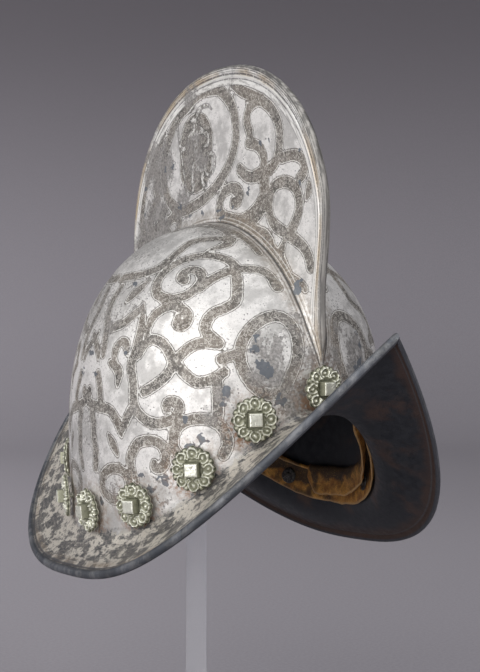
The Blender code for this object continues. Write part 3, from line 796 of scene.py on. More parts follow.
def skull_straps():
    fore = strap_lines(SKULL_STRAPS, lambda degrees: -degrees)
    aft = strap_lines(SKULL_STRAPS, lambda degrees: degrees - 180.0)
    lines = np.vstack([fore, aft])
    return outer_point(lines[:, 0], np.clip(lines[:, 1], 1.0, 2.0)), lines[:, 2]


def comb_straps():
    front = strap_lines(COMB_STRAPS, lambda degrees: degrees)
    field = strap_lines((FIELD_STRAP,), lambda degrees: degrees, 0.0)
    start, end = COMB_REAR_DEG
    first, last = COMB_FRONT_DEG
    back = strap_lines(
        COMB_STRAPS[1:], lambda degrees: start + (degrees - first) * (end - start) / (last - first)
    )
    lines = np.vstack([front, field, back])
    return comb_point(lines[:, 0], np.clip(lines[:, 1], 0.0, 1.0)), lines[:, 2]


def figure_straps():
    lines = strap_lines(FIGURE_STRAPS, lambda degrees: degrees, 0.0)
    return comb_point(lines[:, 0], np.clip(lines[:, 1], 0.0, 1.0)), lines[:, 2]


def near_side_point(turn, place):
    """A point of the -X side, by turn from the front."""
    return outer_point(-turn, place)


def both_ends(rows):
    """Rows that start with a turn, and the same turned round from the front to the back."""
    rows = np.array(rows)
    turned = rows.copy()
    turned[:, 0] = 180.0 - rows[:, 0]
    return np.vstack([rows, turned])


def patches(rows, place_point):
    """Centres and radii of bare patches, at both ends of the helmet."""
    rows = both_ends(rows)
    return place_point(np.radians(rows[:, 0]), rows[:, 1]), rows[:, 2]


# The shell


def rim_rows(rise):
    """Distances under the comb's ridge of its rows, from the ridge down."""
    close = np.array(RIM_ROWS_MM)[None, :] * MM
    close = close * np.minimum(1.0, RIM_SHARE * rise / close[0, -1])[:, None]
    share = np.arange(1, COMB_ROWS) / COMB_ROWS
    left = (rise[:, None] - close[:, -1:]) * (1 - share) ** 1.5
    return np.hstack([close, rise[:, None] - left])


def comb_grid(turns):
    """Outer rows of the comb and how far each is under the ridge."""
    low, top = comb_ends(turns)
    rise = np.linalg.norm(top - low, axis=1)
    depth = rim_rows(rise)
    share = depth / np.maximum(rise, TINY)[:, None]
    points = mix(top[:, None, :], low[:, None, :], share)
    round_end = np.clip(1 - depth / np.minimum(COMB_RIM_DEPTH, 0.5 * rise + TINY)[:, None], 0, 1)
    width = comb_half_width(turns[:, None], 1 - share) * np.sqrt(1 - round_end**2)
    width += MM * rim_profile(depth / MM) * (width > 0) * smooth_step(rise, 0.01, 0.04)[:, None]
    points[..., 0] = side_of(turns)[:, None] * width
    return points, depth


def rim_profile(depth):
    """Raised strip, groove and bead along the comb's edge, in mm, at this many mm under it."""
    strip = 0.30 * smooth_step(depth, 0.3, 1.2) * (1 - smooth_step(depth, 4.4, 5.2))
    lines = -0.16 * (bell(depth, 2.1, 0.35) + bell(depth, 3.5, 0.35))
    groove = -0.30 * bell(depth, 5.6, 0.6)
    bead = 0.40 * bell(depth, 7.1, 0.8)
    return strip + lines + groove + bead


def skull_places():
    """Places from the comb's foot down to the throat, evenly spaced at the helmet's side."""
    places = np.linspace(1.0, 2.0, FINE)
    walked = walked_along(outer_point(math.pi / 2, places))
    return np.interp(np.linspace(walked[-1], 0.0, SKULL_ROWS), walked, places)


def flare_places(turn, distances, rows):
    """Places from the throat to these distances in metres from the brim's edge."""
    places = np.linspace(0.0, 1.0, FLARE_FINE)
    walked = walked_along(outer_point(turn, places))
    inner = np.linspace(walked[-1], distances[0], rows + 1, endpoint=False)[1:]
    goals = np.concatenate([inner, distances])
    return np.interp(goals, walked, places), goals


def brim_grid(turns, rows_mm, rows):
    """Places from the throat to the brim's edge at every turn, and their mm from that edge."""
    found = [flare_places(turn, np.array(rows_mm) * MM, rows) for turn in turns]
    places, distances = zip(*found)
    return np.array(places), np.array(distances) / MM


def roll_grid(turns):
    """The brim's rolled edge, as in the solids."""
    normal = outer_normal(turns, np.zeros(len(turns)))
    edge = brim_edge(turns)
    down = unit(edge - outer_point(turns, np.full(len(turns), 0.1)))
    centre = edge - normal * (EDGE_ROLL_RADIUS - EDGE_ROLL_PROUD) - down * EDGE_ROLL_RADIUS
    angles = np.radians(np.linspace(*ROLL_SPAN_DEG, ROLL_STEPS))
    spokes = (
        normal[:, None, :] * np.cos(angles)[None, :, None]
        + down[:, None, :] * np.sin(angles)[None, :, None]
    )
    points = centre[:, None, :] + spokes * EDGE_ROLL_RADIUS
    side = side_of(edge[:, 0])[:, None]
    least = LEAST_SIDE * np.abs(edge[:, 0])[:, None]
    points[..., 0] = side * np.maximum(side * points[..., 0], least)
    return points


def inner_comb_grid(turns):
    start = inset_point(turns, np.full(len(turns), 2.0), np.full(len(turns), WALL))
    low = start.copy()
    low[:, 0] = 0.0
    top = ridge(turns)
    rise = np.linalg.norm(top - low, axis=1)
    depth = np.minimum(COMB_SOLID_EDGE, np.maximum(WALL, 0.5 * rise))
    top = mix(top, low, depth / np.maximum(rise, TINY))
    share = np.arange(1, INNER_COMB_ROWS + 1) / (INNER_COMB_ROWS + 1)
    points = mix(low[:, None, :], top[:, None, :], np.tile(share, (len(turns), 1)))
    full = comb_half_width(turns[:, None], share[None, :])
    width = np.maximum(full - WALL, 0.3 * full)
    points[..., 0] = side_of(turns)[:, None] * width
    return np.concatenate([points, top[:, None, :]], axis=1)


def shell_grid():
    """Points of the whole shell, one row of the array per turn, and its marks in mm."""
    turns = np.linspace(-math.pi, math.pi, STATIONS, endpoint=False)
    comb, depth = comb_grid(turns)
    places = np.tile(skull_places(), (STATIONS, 1))
    edge_mm = np.full(places.shape, FAR_MM)
    brim_places, brim_edges = brim_grid(turns, EDGE_ROWS_MM, FLARE_ROWS)
    places = np.hstack([places, brim_places])
    edge_mm = np.hstack([edge_mm, brim_edges])
    wall = outer_point(turns[:, None], places)
    normals = outer_normal(turns[:, None], places)
    inner_places, inner_edges = brim_grid(turns, INNER_EDGE_ROWS_MM, INNER_FLARE_ROWS)
    inner_skull = np.linspace(1.0, 2.0, INNER_SKULL_ROWS)
    inner_places = np.hstack([inner_places[:, ::-1], np.tile(inner_skull, (STATIONS, 1))])
    inner_edges = np.hstack([inner_edges[:, ::-1], far(INNER_SKULL_ROWS)])
    inside = inset_point(turns[:, None], inner_places, np.full(inner_places.shape, WALL))
    return {
        "turns": turns,
        "comb": comb,
        "comb_depth": depth / MM,
        "wall": wall,
        "wall_normals": normals,
        "wall_places": places,
        "wall_edges": edge_mm,
        "roll": roll_grid(turns),
        "inside": inside,
        "inside_edges": inner_edges,
        "inner_comb": inner_comb_grid(turns),
    }


def mirrored(values):
    """Values found for turns up to 0, copied to the other side."""
    half = STATIONS // 2
    whole = np.empty((STATIONS, *values.shape[1:]))
    whole[: half + 1] = values
    whole[half + 1 :] = values[1:half][::-1]
    return whole


def wear_on(points, rows, place_point):
    """Strength of wear from 0 to 1 over points."""
    rows = np.array(rows)
    centres = place_point(np.radians(rows[:, 0]), rows[:, 1])
    wear = np.zeros(points.shape[:-1])
    for centre, (_, _, radius, strength) in zip(centres, rows):
        distance = np.linalg.norm(points - centre, axis=-1) / MM
        wear = np.maximum(wear, strength * (1 - smooth_step(distance, 0.35 * radius, 1.25 * radius)))
    return wear


def far(count):
    """Marks of a part that the mark doesn't reach."""
    return np.full((STATIONS, count), FAR_MM)


def marks_on(points, straps, losses, count):
    """Distances in mm from straps and bare patches, found on one side for both."""
    flat = points[: STATIONS // 2 + 1].reshape(-1, 3)
    strap = nearest(flat, *straps).reshape(STATIONS // 2 + 1, count)
    loss = nearest(flat, *losses).reshape(STATIONS // 2 + 1, count)
    return mirrored(np.clip(strap, -MARK_MM, MARK_MM)), mirrored(np.clip(loss, -MARK_MM, MARK_MM))


def rosette_frames():
    return [level_frame(float(turn), ROSETTE_RADIUS) for turn in rosette_turns()]


def rust_near_rosettes(points, frames):
    """Share of rust from 0 to 1, mostly under each rosette."""
    rust = np.zeros(points.shape[:-1])
    for place in frames:
        centre = np.array(place.translation)
        down = -np.array(place.col[1])[:3]
        offset = points - centre
        distance = np.linalg.norm(offset, axis=-1)
        lower = 0.35 + 0.65 * smooth_step(offset @ down / np.maximum(distance, TINY), -0.4, 0.9)
        rust = np.maximum(rust, lower * (1 - smooth_step(distance, *RUST_SPREAD)))
    return rust


def build_shell(seat, materials):
    grid = shell_grid()
    turns = grid["turns"]
    comb_count = grid["comb"].shape[1]
    wall_count = grid["wall"].shape[1]
    flat_comb = grid["comb"].copy()
    flat_comb[..., 0] = 0.0
    comb_strap, comb_loss = marks_on(
        flat_comb, comb_straps(), patches(COMB_LOSSES, comb_point), comb_count
    )
    skull_strap, skull_loss = marks_on(
        grid["wall"], skull_straps(), patches(SKULL_LOSSES, near_side_point), wall_count
    )
    comb_figure, _ = marks_on(flat_comb, figure_straps(), figure_straps(), comb_count)
    on_brim = grid["wall_places"] < 1.0
    throat_mm = np.where(on_brim, -1.0, 1.0) * wall_from_throat(grid, turns)
    skull_strap = np.where(on_brim, MARK_MM, skull_strap)

    recess = smooth_step(skull_strap, 0.9, -0.9)
    groove = bell(grid["wall_edges"], BRIM_GROOVE_MM, 0.8)
    uneven = sum(ripple(grid["wall"], size, seed) * height for size, seed, height in WALL_WAVES)
    lift = (uneven - STRAP_DEPTH_MM * recess - BRIM_GROOVE_DEPTH_MM * groove) * MM
    wall = grid["wall"] + grid["wall_normals"] * lift[..., None]
    wall[[0, STATIONS // 2], :, 0] = 0.0
    wall[:, 0, :] = grid["wall"][:, 0, :]
    comb = grid["comb"].copy()
    comb_side = side_of(turns)[:, None]
    comb_uneven = ripple(comb, 0.06, 11) * 0.10
    comb_lift = (comb_uneven - STRAP_DEPTH_MM * smooth_step(comb_strap, 0.9, -0.9)) * MM
    comb_lift *= smooth_step(grid["comb_depth"], 7.0, 10.0)
    comb[..., 0] += comb_side * comb_lift * (np.abs(comb[..., 0]) > COMB_THIN)

    roll_count = grid["roll"].shape[1]
    inside_count = grid["inside"].shape[1] + grid["inner_comb"].shape[1]
    points = np.concatenate([comb, wall, grid["roll"], grid["inside"], grid["inner_comb"]], axis=1)
    inner_rows = grid["inner_comb"].shape[1]
    half = STATIONS // 2 + 1
    beyond = far(roll_count + inside_count)
    none = 0 * beyond
    skull_wear = wear_on(grid["wall"][:half], both_ends(SKULL_WEAR), near_side_point)
    marks = {
        "strap_mm": (comb_strap, skull_strap, beyond),
        "loss_mm": (comb_loss, skull_loss, beyond),
        "figure_mm": (comb_figure, far(wall_count), beyond),
        "ridge_mm": (grid["comb_depth"], far(wall_count), beyond),
        "edge_mm": (
            far(comb_count),
            grid["wall_edges"],
            0 * far(roll_count),
            grid["inside_edges"],
            far(inner_rows),
        ),
        "throat_mm": (far(comb_count), throat_mm, -beyond),
        "foot_mm": (foot_distance(grid["comb"], turns), foot_distance(grid["wall"], turns), beyond),
        "wear": (
            mirrored(wear_on(flat_comb[:half], COMB_WEAR, comb_point)),
            mirrored(skull_wear),
            none,
        ),
        "rust": (0 * far(comb_count), rust_near_rosettes(grid["wall"], rosette_frames()), none),
    }
    outer_rows = comb_count + wall_count + (ROLL_STEPS * 2) // 3
    shell = closed_grid("shell_etched", points, marks, outer_rows, materials)
    shell.data.transform(seat)
    return shell


def wall_from_throat(grid, turns):
    """Distance in mm between each wall point and the throat of its own turn."""
    return np.linalg.norm(grid["wall"] - throat(turns)[:, None, :], axis=-1) / MM


def foot_distance(points, turns):
    """Distance in mm from the comb's foot of the same turn."""
    foot = outer_point(turns, np.full(len(turns), 2.0))
    return np.linalg.norm(points - foot[:, None, :], axis=-1) / MM


def placed(name, data):
    item = bpy.data.objects.new(name, data)
    bpy.context.scene.collection.objects.link(item)
    return item


def closed_grid(name, points, marks, outer_rows, materials):
    """A shell whose first and last rows each join the two sides, with its marks as attributes."""
    stations, rows = points.shape[:2]
    index = np.arange(stations * rows).reshape(stations, rows)
    partner = (-np.arange(stations)) % stations
    for row in (0, rows - 1):
        index[:, row] = np.minimum(index[:, row], index[partner, row])
    after = np.roll(index, -1, axis=0)
    quads = np.stack([index[:, :-1], after[:, :-1], after[:, 1:], index[:, 1:]], axis=-1)
    quads = quads.reshape(-1, 4)
    row_of = np.tile(np.arange(rows - 1), stations)
    mesh = bpy.data.meshes.new(name)
    mesh.from_pydata(points.reshape(-1, 3).tolist(), [], quads.tolist())
    for material in materials:
        mesh.materials.append(material)
    mesh.polygons.foreach_set("material_index", (row_of >= outer_rows).astype(np.int32))
    for mark, parts in marks.items():
        values = np.concatenate(parts, axis=1).astype(np.float32).reshape(-1)
        attribute = mesh.attributes.new(mark, "FLOAT", "POINT")
        attribute.data.foreach_set("value", values)
    form = bmesh.new()
    form.from_mesh(mesh)
    loose = [vertex for vertex in form.verts if not vertex.link_faces]
    bmesh.ops.delete(form, geom=loose, context="VERTS")
    bmesh.ops.remove_doubles(form, verts=form.verts, dist=JOIN_DISTANCE)
    bmesh.ops.dissolve_degenerate(form, edges=form.edges, dist=DEGENERATE_EDGE)
    form.to_mesh(mesh)
    form.free()
    mesh.shade_smooth()
    return placed(name, mesh)


# Smaller pieces


def mesh_piece(name, points, faces, material, seat=None, marks=None):
    mesh = bpy.data.meshes.new(name)
    mesh.from_pydata([tuple(point) for point in points], [], faces)
    mesh.materials.append(material)
    for mark, values in (marks or {}).items():
        attribute = mesh.attributes.new(mark, "FLOAT", "POINT")
        attribute.data.foreach_set("value", np.asarray(values, np.float32))
    if seat is not None:
        mesh.transform(seat)
    mesh.shade_smooth()
    return placed(name, mesh)


def ring_faces(rows, columns, row_closed=False):
    """Quads of a grid whose rows run round and whose columns run along."""
    faces = []
    for row in range(rows if row_closed else rows - 1):
        after = (row + 1) % rows
        for column in range(columns):
            beside = (column + 1) % columns
            low, high = row * columns, after * columns
            faces.append((low + column, low + beside, high + beside, high + column))
    return faces


def lathe_faces(rows, columns):
    """Rows of a turned form closed with a point at both ends, which come after its rows."""
    faces = ring_faces(rows, columns)
    top = rows * columns
    last = (rows - 1) * columns
    for column in range(columns):
        beside = (column + 1) % columns
        faces.append((beside, column, top))
        faces.append((last + column, last + beside, top + 1))
    return faces


def long_bump(along, across, out, length, width):
    return np.exp(-(((along - out) / length) ** 2) - (across / width) ** 2)


def petal_relief(x, y):
    """Height in mm of the cast scrolls, leaves and pearls, over x and y in mm."""
    reach = np.hypot(x, y)
    total = 1.0 + 0.6 * smooth_step(reach, 13.6, 10.0) + 0.25 * smooth_step(reach, 7.6, 6.0)
    for half_lobe in range(2 * ROSETTE_LOBES):
        angle = math.pi * half_lobe / ROSETTE_LOBES
        along = x * math.cos(angle) + y * math.sin(angle)
        across = y * math.cos(angle) - x * math.sin(angle)
        raised = 0.0
        if half_lobe % 2 == 0:
            cup = np.hypot(along - CUP_OUT_MM, across * CUP_NARROW)
            open_side = 1 - CUP_OPEN * long_bump(along, across, *CUP_MOUTH_MM)
            raised = CUP_HEIGHT_MM * bell(cup, CUP_RADIUS_MM, CUP_SOFT_MM) * open_side
        for out, aside, length, width, height in NOTCH_FORMS if half_lobe % 2 else LOBE_FORMS:
            for side in {-aside, aside}:
                raised += height * long_bump(along, across - side, out, length, width)
        total += (along > 0) * raised
    return total


def square_reach(angles, half):
    """Distance from the middle of a square to its outline."""
    return half / np.maximum(np.abs(np.cos(angles)), np.abs(np.sin(angles)))


def rosette_form(seed):
    """Points, faces and marks of one rosette with its boss and shank. Z = 0 is the wall, in mm."""
    draw = np.random.default_rng(seed)
    angles = round_angles(ROSETTE_COLUMNS)
    full = ROSETTE_RADIUS / MM
    fit = PETAL_REACH_MM / full
    lobes = np.abs(np.cos(angles * ROSETTE_LOBES))
    large = np.cos(angles * ROSETTE_LOBES)
    outline = full * (ROSETTE_NOTCH + 0.02 * large + (0.98 - ROSETTE_NOTCH) * lobes**0.6)
    rows, relief_and_light = [], []
    shank = RIVET_RADIUS / MM
    base = ROSETTE_SEAT / MM
    for z in np.linspace(-SHANK_DEPTH_MM, base, 6):
        rows.append(ring(shank, angles, z))
        relief_and_light.append(np.full(ROSETTE_COLUMNS, 1.0))
    for share, rise in ((0.35, 0.25), (0.7, 0.15), (0.97, 0.0), (1.0, 0.25), (1.0, 0.7)):
        rows.append(ring(share * outline, angles, base + rise))
        relief_and_light.append(np.full(ROSETTE_COLUMNS, 0.6))
    boss_foot = square_reach(angles, BOSS_FOOT_HALF / MM)
    # Each petal row is marked by its relief height, which paints its hollows darker as shade and its
    # tops lighter as highlight.
    for share in np.linspace(0.0, 1.0, PETAL_ROWS):
        reach = outline * (1 - share) + (boss_foot + 0.15) * share
        x = reach * np.cos(angles)
        y = reach * np.sin(angles)
        bend_x, bend_y = (ripple(stack(x, y, 0.0), 6.0, seed + shift) for shift in (100, 200))
        relief = petal_relief(x * fit + 0.5 * bend_x, y * fit + 0.5 * bend_y)
        lip = smooth_step(share, 0.0, 0.07)
        height = 1.05 * (1 - lip) + relief * lip
        rows.append(stack(x, y, base + height))
        relief_and_light.append(height - 1.55 - 0.35 * smooth_step(reach, 13.6, 10.0))
    top = BOSS_HEIGHT / MM
    half_low, half_high = BOSS_FOOT_HALF / MM, BOSS_TOP_HALF / MM
    # The boss's sides are marked low, for painted shade.
    for share in np.linspace(0.0, 1.0, 9):
        reach = square_reach(angles, half_low + (half_high - half_low) * share)
        height = 1.2 + (top - 0.45 - 1.2) * share
        rows.append(ring(reach, angles, base + height))
        relief_and_light.append(np.full(ROSETTE_COLUMNS, -0.15 + 0.45 * share))
    # The boss's top is marked high, for a painted highlight.
    for inset, drop in ((0.16, 0.22), (0.5, 0.06), (0.95, 0.0), (1.8, 0.04), (2.8, 0.08)):
        reach = square_reach(angles, half_high - inset)
        rows.append(ring(reach, angles, base + top - drop))
        relief_and_light.append(np.full(ROSETTE_COLUMNS, 1.6))
    points = np.array(rows).reshape(-1, 3)
    rough = ripple(points, 3.2, seed) * 0.10 + ripple(points, 1.4, seed + 50) * 0.05
    outer = np.arange(len(points)) >= BACK_ROWS * ROSETTE_COLUMNS
    points[:, 2] += np.where(outer, rough, 0.0) - np.where(outer, draw.uniform(0.0, 0.08), 0.0)
    points = np.vstack([points, [(0, 0, -SHANK_DEPTH_MM)], [(0, 0, base + top - 0.1)]])
    depth = np.concatenate([np.array(relief_and_light).reshape(-1), [1.0, 1.6]])
    return points * MM, lathe_faces(len(rows), ROSETTE_COLUMNS), depth


def build_rosettes(seat, material):
    pieces = []
    for number, frame_here in enumerate(rosette_frames(), 1):
        points, faces, depth = rosette_form(number)
        matrix = seat @ frame_here
        marks = {"relief_and_light_mm": depth}
        name = f"rosette_cast_{number:02d}"
        piece = mesh_piece(name, points, faces, material, matrix, marks)
        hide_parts(f"rosette_{number:02d}")
        pieces.append(piece)
    return pieces


def node_centre(name):
    low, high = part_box(name)
    return (Vector(low) + Vector(high)) / 2


def washer_form(seed):
    """A hammered plate with the rivet's spread end on it, in mm. Z = 0 is its middle."""
    draw = np.random.default_rng(seed)
    angles = round_angles(WASHER_COLUMNS)
    full = WASHER_RADIUS / MM
    thick = WASHER_THICKNESS / MM / 2
    wave = 1 + 0.018 * np.sin(3 * angles + draw.uniform(0, 6)) + 0.012 * np.sin(
        7 * angles + draw.uniform(0, 6)
    )
    profile = (
        (0.35, thick), (0.80, thick), (0.95, thick * 0.8), (0.98, 0.2), (0.97, -0.15),
        (0.90, -thick), (0.72, -thick - 0.06), (0.46, -thick), (0.40, -thick - 0.12),
        (0.36, -thick - 0.7), (0.26, -thick - 1.05), (0.12, -thick - 1.2),
    )
    rows = [ring(full * wave * share, angles, z) for share, z in profile]
    points = np.array(rows).reshape(-1, 3)
    face = points[:, 2] < -0.3
    dents = ripple(points, 3.4, seed) * 0.07 + ripple(points, 1.5, seed + 9) * 0.03
    points[:, 2] += np.where(face, dents, 0.0)
    points = np.vstack([points, [(0, 0, thick)], [(0, 0, -thick - 1.22)]])
    return points * MM, lathe_faces(len(profile), WASHER_COLUMNS)


def build_washers(seat, material):
    pieces = []
    for number, turn in enumerate(rosette_turns(), 1):
        node = f"rivet_washer_{number:02d}"
        matrix = seat @ wall_frame(float(turn), WASHER_RADIUS)
        matrix.translation = node_centre(node)
        points, faces = washer_form(number)
        faces = [face[::-1] for face in faces]
        piece = mesh_piece(f"washer_hammered_{number:02d}", points, faces, material, matrix)
        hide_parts(node)
        pieces.append(piece)
    return pieces


def ragged(angles, size, seed):
    """Torn edge from -1 to 1 round the band, with tears about this many to a turn."""
    draw = np.random.default_rng(seed)
    total = np.zeros(len(angles))
    for octave in range(5):
        count = size * 2**octave
        offsets = draw.uniform(-1, 1, count)
        where = (angles / (2 * math.pi) * count) % count
        low = np.floor(where).astype(int) % count
        share = smooth_step(where - np.floor(where), 0.0, 1.0)
        total += (offsets[low] * (1 - share) + offsets[(low + 1) % count] * share) / 1.5**octave
    return total / 2.2


def flap_lengths(turns):
    """How far in mm the band's upper part is folded in and down at each turn."""
    degrees = np.degrees(turns)
    lengths = np.full(len(turns), FLAP_LEAST_MM)
    for start, end, length in FLAPS:
        open_share = smooth_step(degrees, start, start + 9) * smooth_step(degrees, end, end - 9)
        lengths = np.maximum(lengths, length * open_share)
    return lengths * (1 + 0.16 * ragged(turns, 14, 55))


def band_line(lower, upper, flap, sway):
    """Middle of the leather in mm, along the wall and in from it, and how far from its edges."""
    main = np.linspace(0.0, 1.0, BAND_ROWS)
    along = lower + (upper - lower) * main
    curl = 1.3 * np.clip(np.abs(along) - 6.5, 0, None) / 4 * (0.6 + sway)
    into = BAND_IN_MM + np.where(along < 0, 0.75, 1.0) * curl
    opened = float(smooth_step(flap, 1.0, 7.0))
    radius = 0.55 + (FLAP_IN_MM - 0.5 * BAND_IN_MM - 0.5 * into[-1] - 0.55) * 0.55 * opened
    angles = np.linspace(0.0, math.pi, 7)[1:]
    fold_along = along[-1] + radius * np.sin(angles)
    fold_into = into[-1] + radius * (1 - np.cos(angles))
    down = np.linspace(0.0, 1.0, 9)[1:] * flap
    flap_along = along[-1] - down
    flap_into = fold_into[-1] + 0.5 * np.sin(down * 0.5 + 6 * sway)
    along = np.concatenate([along, fold_along, flap_along])
    into = np.concatenate([into, fold_into, flap_into])
    walked = np.concatenate(([0.0], np.cumsum(np.hypot(np.diff(along), np.diff(into)))))
    edge = np.minimum(walked, walked[-1] - walked)
    rise = np.where(np.arange(len(along)) < BAND_ROWS, walked, walked[-1] - walked)
    return along, into, edge, rise


def build_band(seat, material):
    """Torn leather between the wall and the washers, partly folded in over them."""
    turns = -math.pi + 2 * math.pi * np.arange(BAND_STATIONS) / BAND_STATIONS
    uppers = BAND_UPPER_MM + 1.7 * ragged(turns, 12, 21)
    lowers = BAND_LOWER_MM + 2.0 * ragged(turns, 9, 34)
    flaps = flap_lengths(turns)
    sections, edges, rises = [], [], []
    for turn, lower, upper, flap in zip(turns, lowers, uppers, flaps):
        line = WallLine(turn)
        sway = 0.22 * math.sin(9 * turn + 1.0) + 0.16 * math.sin(23 * turn)
        along, into, edge, rise = band_line(lower, upper, flap, sway)
        step_along, step_into = np.gradient(along), np.gradient(into)
        length = np.maximum(np.hypot(step_along, step_into), TINY)
        half = 0.5 * BAND_THICKNESS / MM * (0.5 + 0.5 * np.clip(edge / 1.2, 0, 1) ** 0.5)
        shift_along, shift_into = -step_into / length * half, step_along / length * half
        both_along = np.concatenate([along - shift_along, (along + shift_along)[::-1]])
        both_into = np.concatenate([into - shift_into, (into + shift_into)[::-1]])
        both_along = np.clip(both_along, -BAND_LIMIT_MM, BAND_LIMIT_MM)
        places = line.place(both_along * MM)
        sections.append(inset_point(np.full(len(places), turn), places, both_into * MM))
        edges.append(np.concatenate([edge, edge[::-1]]))
        rises.append(np.concatenate([rise, rise[::-1]]))
    points = np.array(sections).transpose(1, 0, 2)
    rows = points.shape[0]
    points = points.reshape(-1, 3)
    faces = ring_faces(rows, BAND_STATIONS, row_closed=True)
    points = points + unit(points * (1, 1, 0)) * (ripple(points, 0.012, 4) * 0.18 * MM)[:, None]
    marks = {
        "edge_mm": np.array(edges).T.reshape(-1),
        "rise_mm": np.array(rises).T.reshape(-1),
    }
    piece = mesh_piece("lining_band_torn", points, faces, material, seat, marks)
    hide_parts("lining_band")
    return piece


def prism(half_width, bevel, low, high, steps):
    """Rows of a bevelled square post from low to high."""
    rows = []
    corner = [
        (half_width - bevel + bevel * math.cos(angle), half_width - bevel + bevel * math.sin(angle))
        for angle in np.linspace(0, math.pi / 2, 5)
    ]
    outline = []
    for quarter in range(4):
        turn = quarter * math.pi / 2
        outline += [
            (x * math.cos(turn) - y * math.sin(turn), x * math.sin(turn) + y * math.cos(turn))
            for x, y in corner
        ]
    outline = np.array(outline)
    for z in np.linspace(low + bevel, high - bevel, steps):
        rows.append(stack(outline[:, 0], outline[:, 1], z))
    inset = outline * ((half_width - bevel) / half_width)
    rows.insert(0, stack(inset[:, 0], inset[:, 1], low))
    rows.append(stack(inset[:, 0], inset[:, 1], high))
    points = np.vstack([*rows, [(0, 0, low)], [(0, 0, high)]])
    return points, lathe_faces(len(rows), len(outline))


def build_stand(clear, felt):
    at_post = Matrix.Translation((0, POST_BACK, 0))
    low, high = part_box("stand_post")
    turned = at_post @ Matrix.Rotation(math.radians(STAND_TURN_DEG), 4, "Z")
    points, faces = prism(POST_WIDTH / 2, POST_BEVEL, low[2], high[2], POST_ROWS)
    post = mesh_piece("stand_post_bevelled", points, faces, clear, turned)
    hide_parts("stand_post")

    angles = round_angles(BASE_COLUMNS)
    rows = [ring(BASE_RADIUS * share, angles, z) for z, share in BASE_PROFILE]
    points = np.vstack([*rows, [(0, 0, 0)], [(0, 0, BASE_THICKNESS)]])
    faces = lathe_faces(len(rows), BASE_COLUMNS)
    base = mesh_piece("stand_base_turned", points, faces, clear, at_post)
    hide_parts("stand_base")
    return [post, base, build_head(felt)]


def crest_height(x, y, seat):
    """Height in the world of the skull's hollow over x and y."""
    under = WALL + HEAD_UNDER_WALL
    sizes = (THROAT_HALF_WIDTH - under, CREST_HALF_LENGTH - under, CREST_HEIGHT - under)
    back = seat.inverted()
    origin = back @ Vector((x, y, 0))
    upward = back.to_3x3() @ Vector((0, 0, 1))
    centre = Vector((0, -CREST_CENTRE, CREST_BASE))
    start = Vector([(origin[i] - centre[i]) / sizes[i] for i in range(3)])
    step = Vector([upward[i] / sizes[i] for i in range(3)])
    a, b, c = step.dot(step), 2 * start.dot(step), start.dot(start) - 1
    return (-b + math.sqrt(b * b - 4 * a * c)) / (2 * a)


def build_head(felt):
    """A felted pad whose crown follows the skull's hollow, with a sewn seam round its side."""
    seat = seat_matrix()
    low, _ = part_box("stand_head")
    angles = round_angles(HEAD_COLUMNS)
    points = []
    for share in np.arange(HEAD_SIDE_ROWS) / (HEAD_SIDE_ROWS - 1):
        bulge = 1 - HEAD_CROWNING * (2 * share - 1) ** 4 - HEAD_SEAM * bell(share, 0.5, HEAD_SEAM_WIDTH)
        for x, y, _ in ring(HEAD_RADIUS * bulge, angles, 0.0):
            top = crest_height(x, y + POST_BACK, seat) - HEAD_SIDE_GAP
            points.append((x, y + POST_BACK, low[2] + (top - low[2]) * share))
    for share in np.arange(1, HEAD_TOP_ROWS) / HEAD_TOP_ROWS:
        rounded = HEAD_ROUNDING * (1 - smooth_step(share, 0.0, 0.2))
        for x, y, _ in ring(HEAD_RADIUS * (1 - HEAD_CROWNING) * (1 - share), angles, 0.0):
            top = crest_height(x, y + POST_BACK, seat) - HEAD_TOP_GAP - rounded
            points.append((x, y + POST_BACK, top))
    points.append((0, POST_BACK, low[2]))
    points.append((0, POST_BACK, crest_height(0, POST_BACK, seat) - HEAD_TOP_GAP))
    faces = lathe_faces(HEAD_SIDE_ROWS + HEAD_TOP_ROWS - 1, HEAD_COLUMNS)
    head = mesh_piece("stand_head_padded", points, faces, felt)
    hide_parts("stand_head")
    return head


# Materials


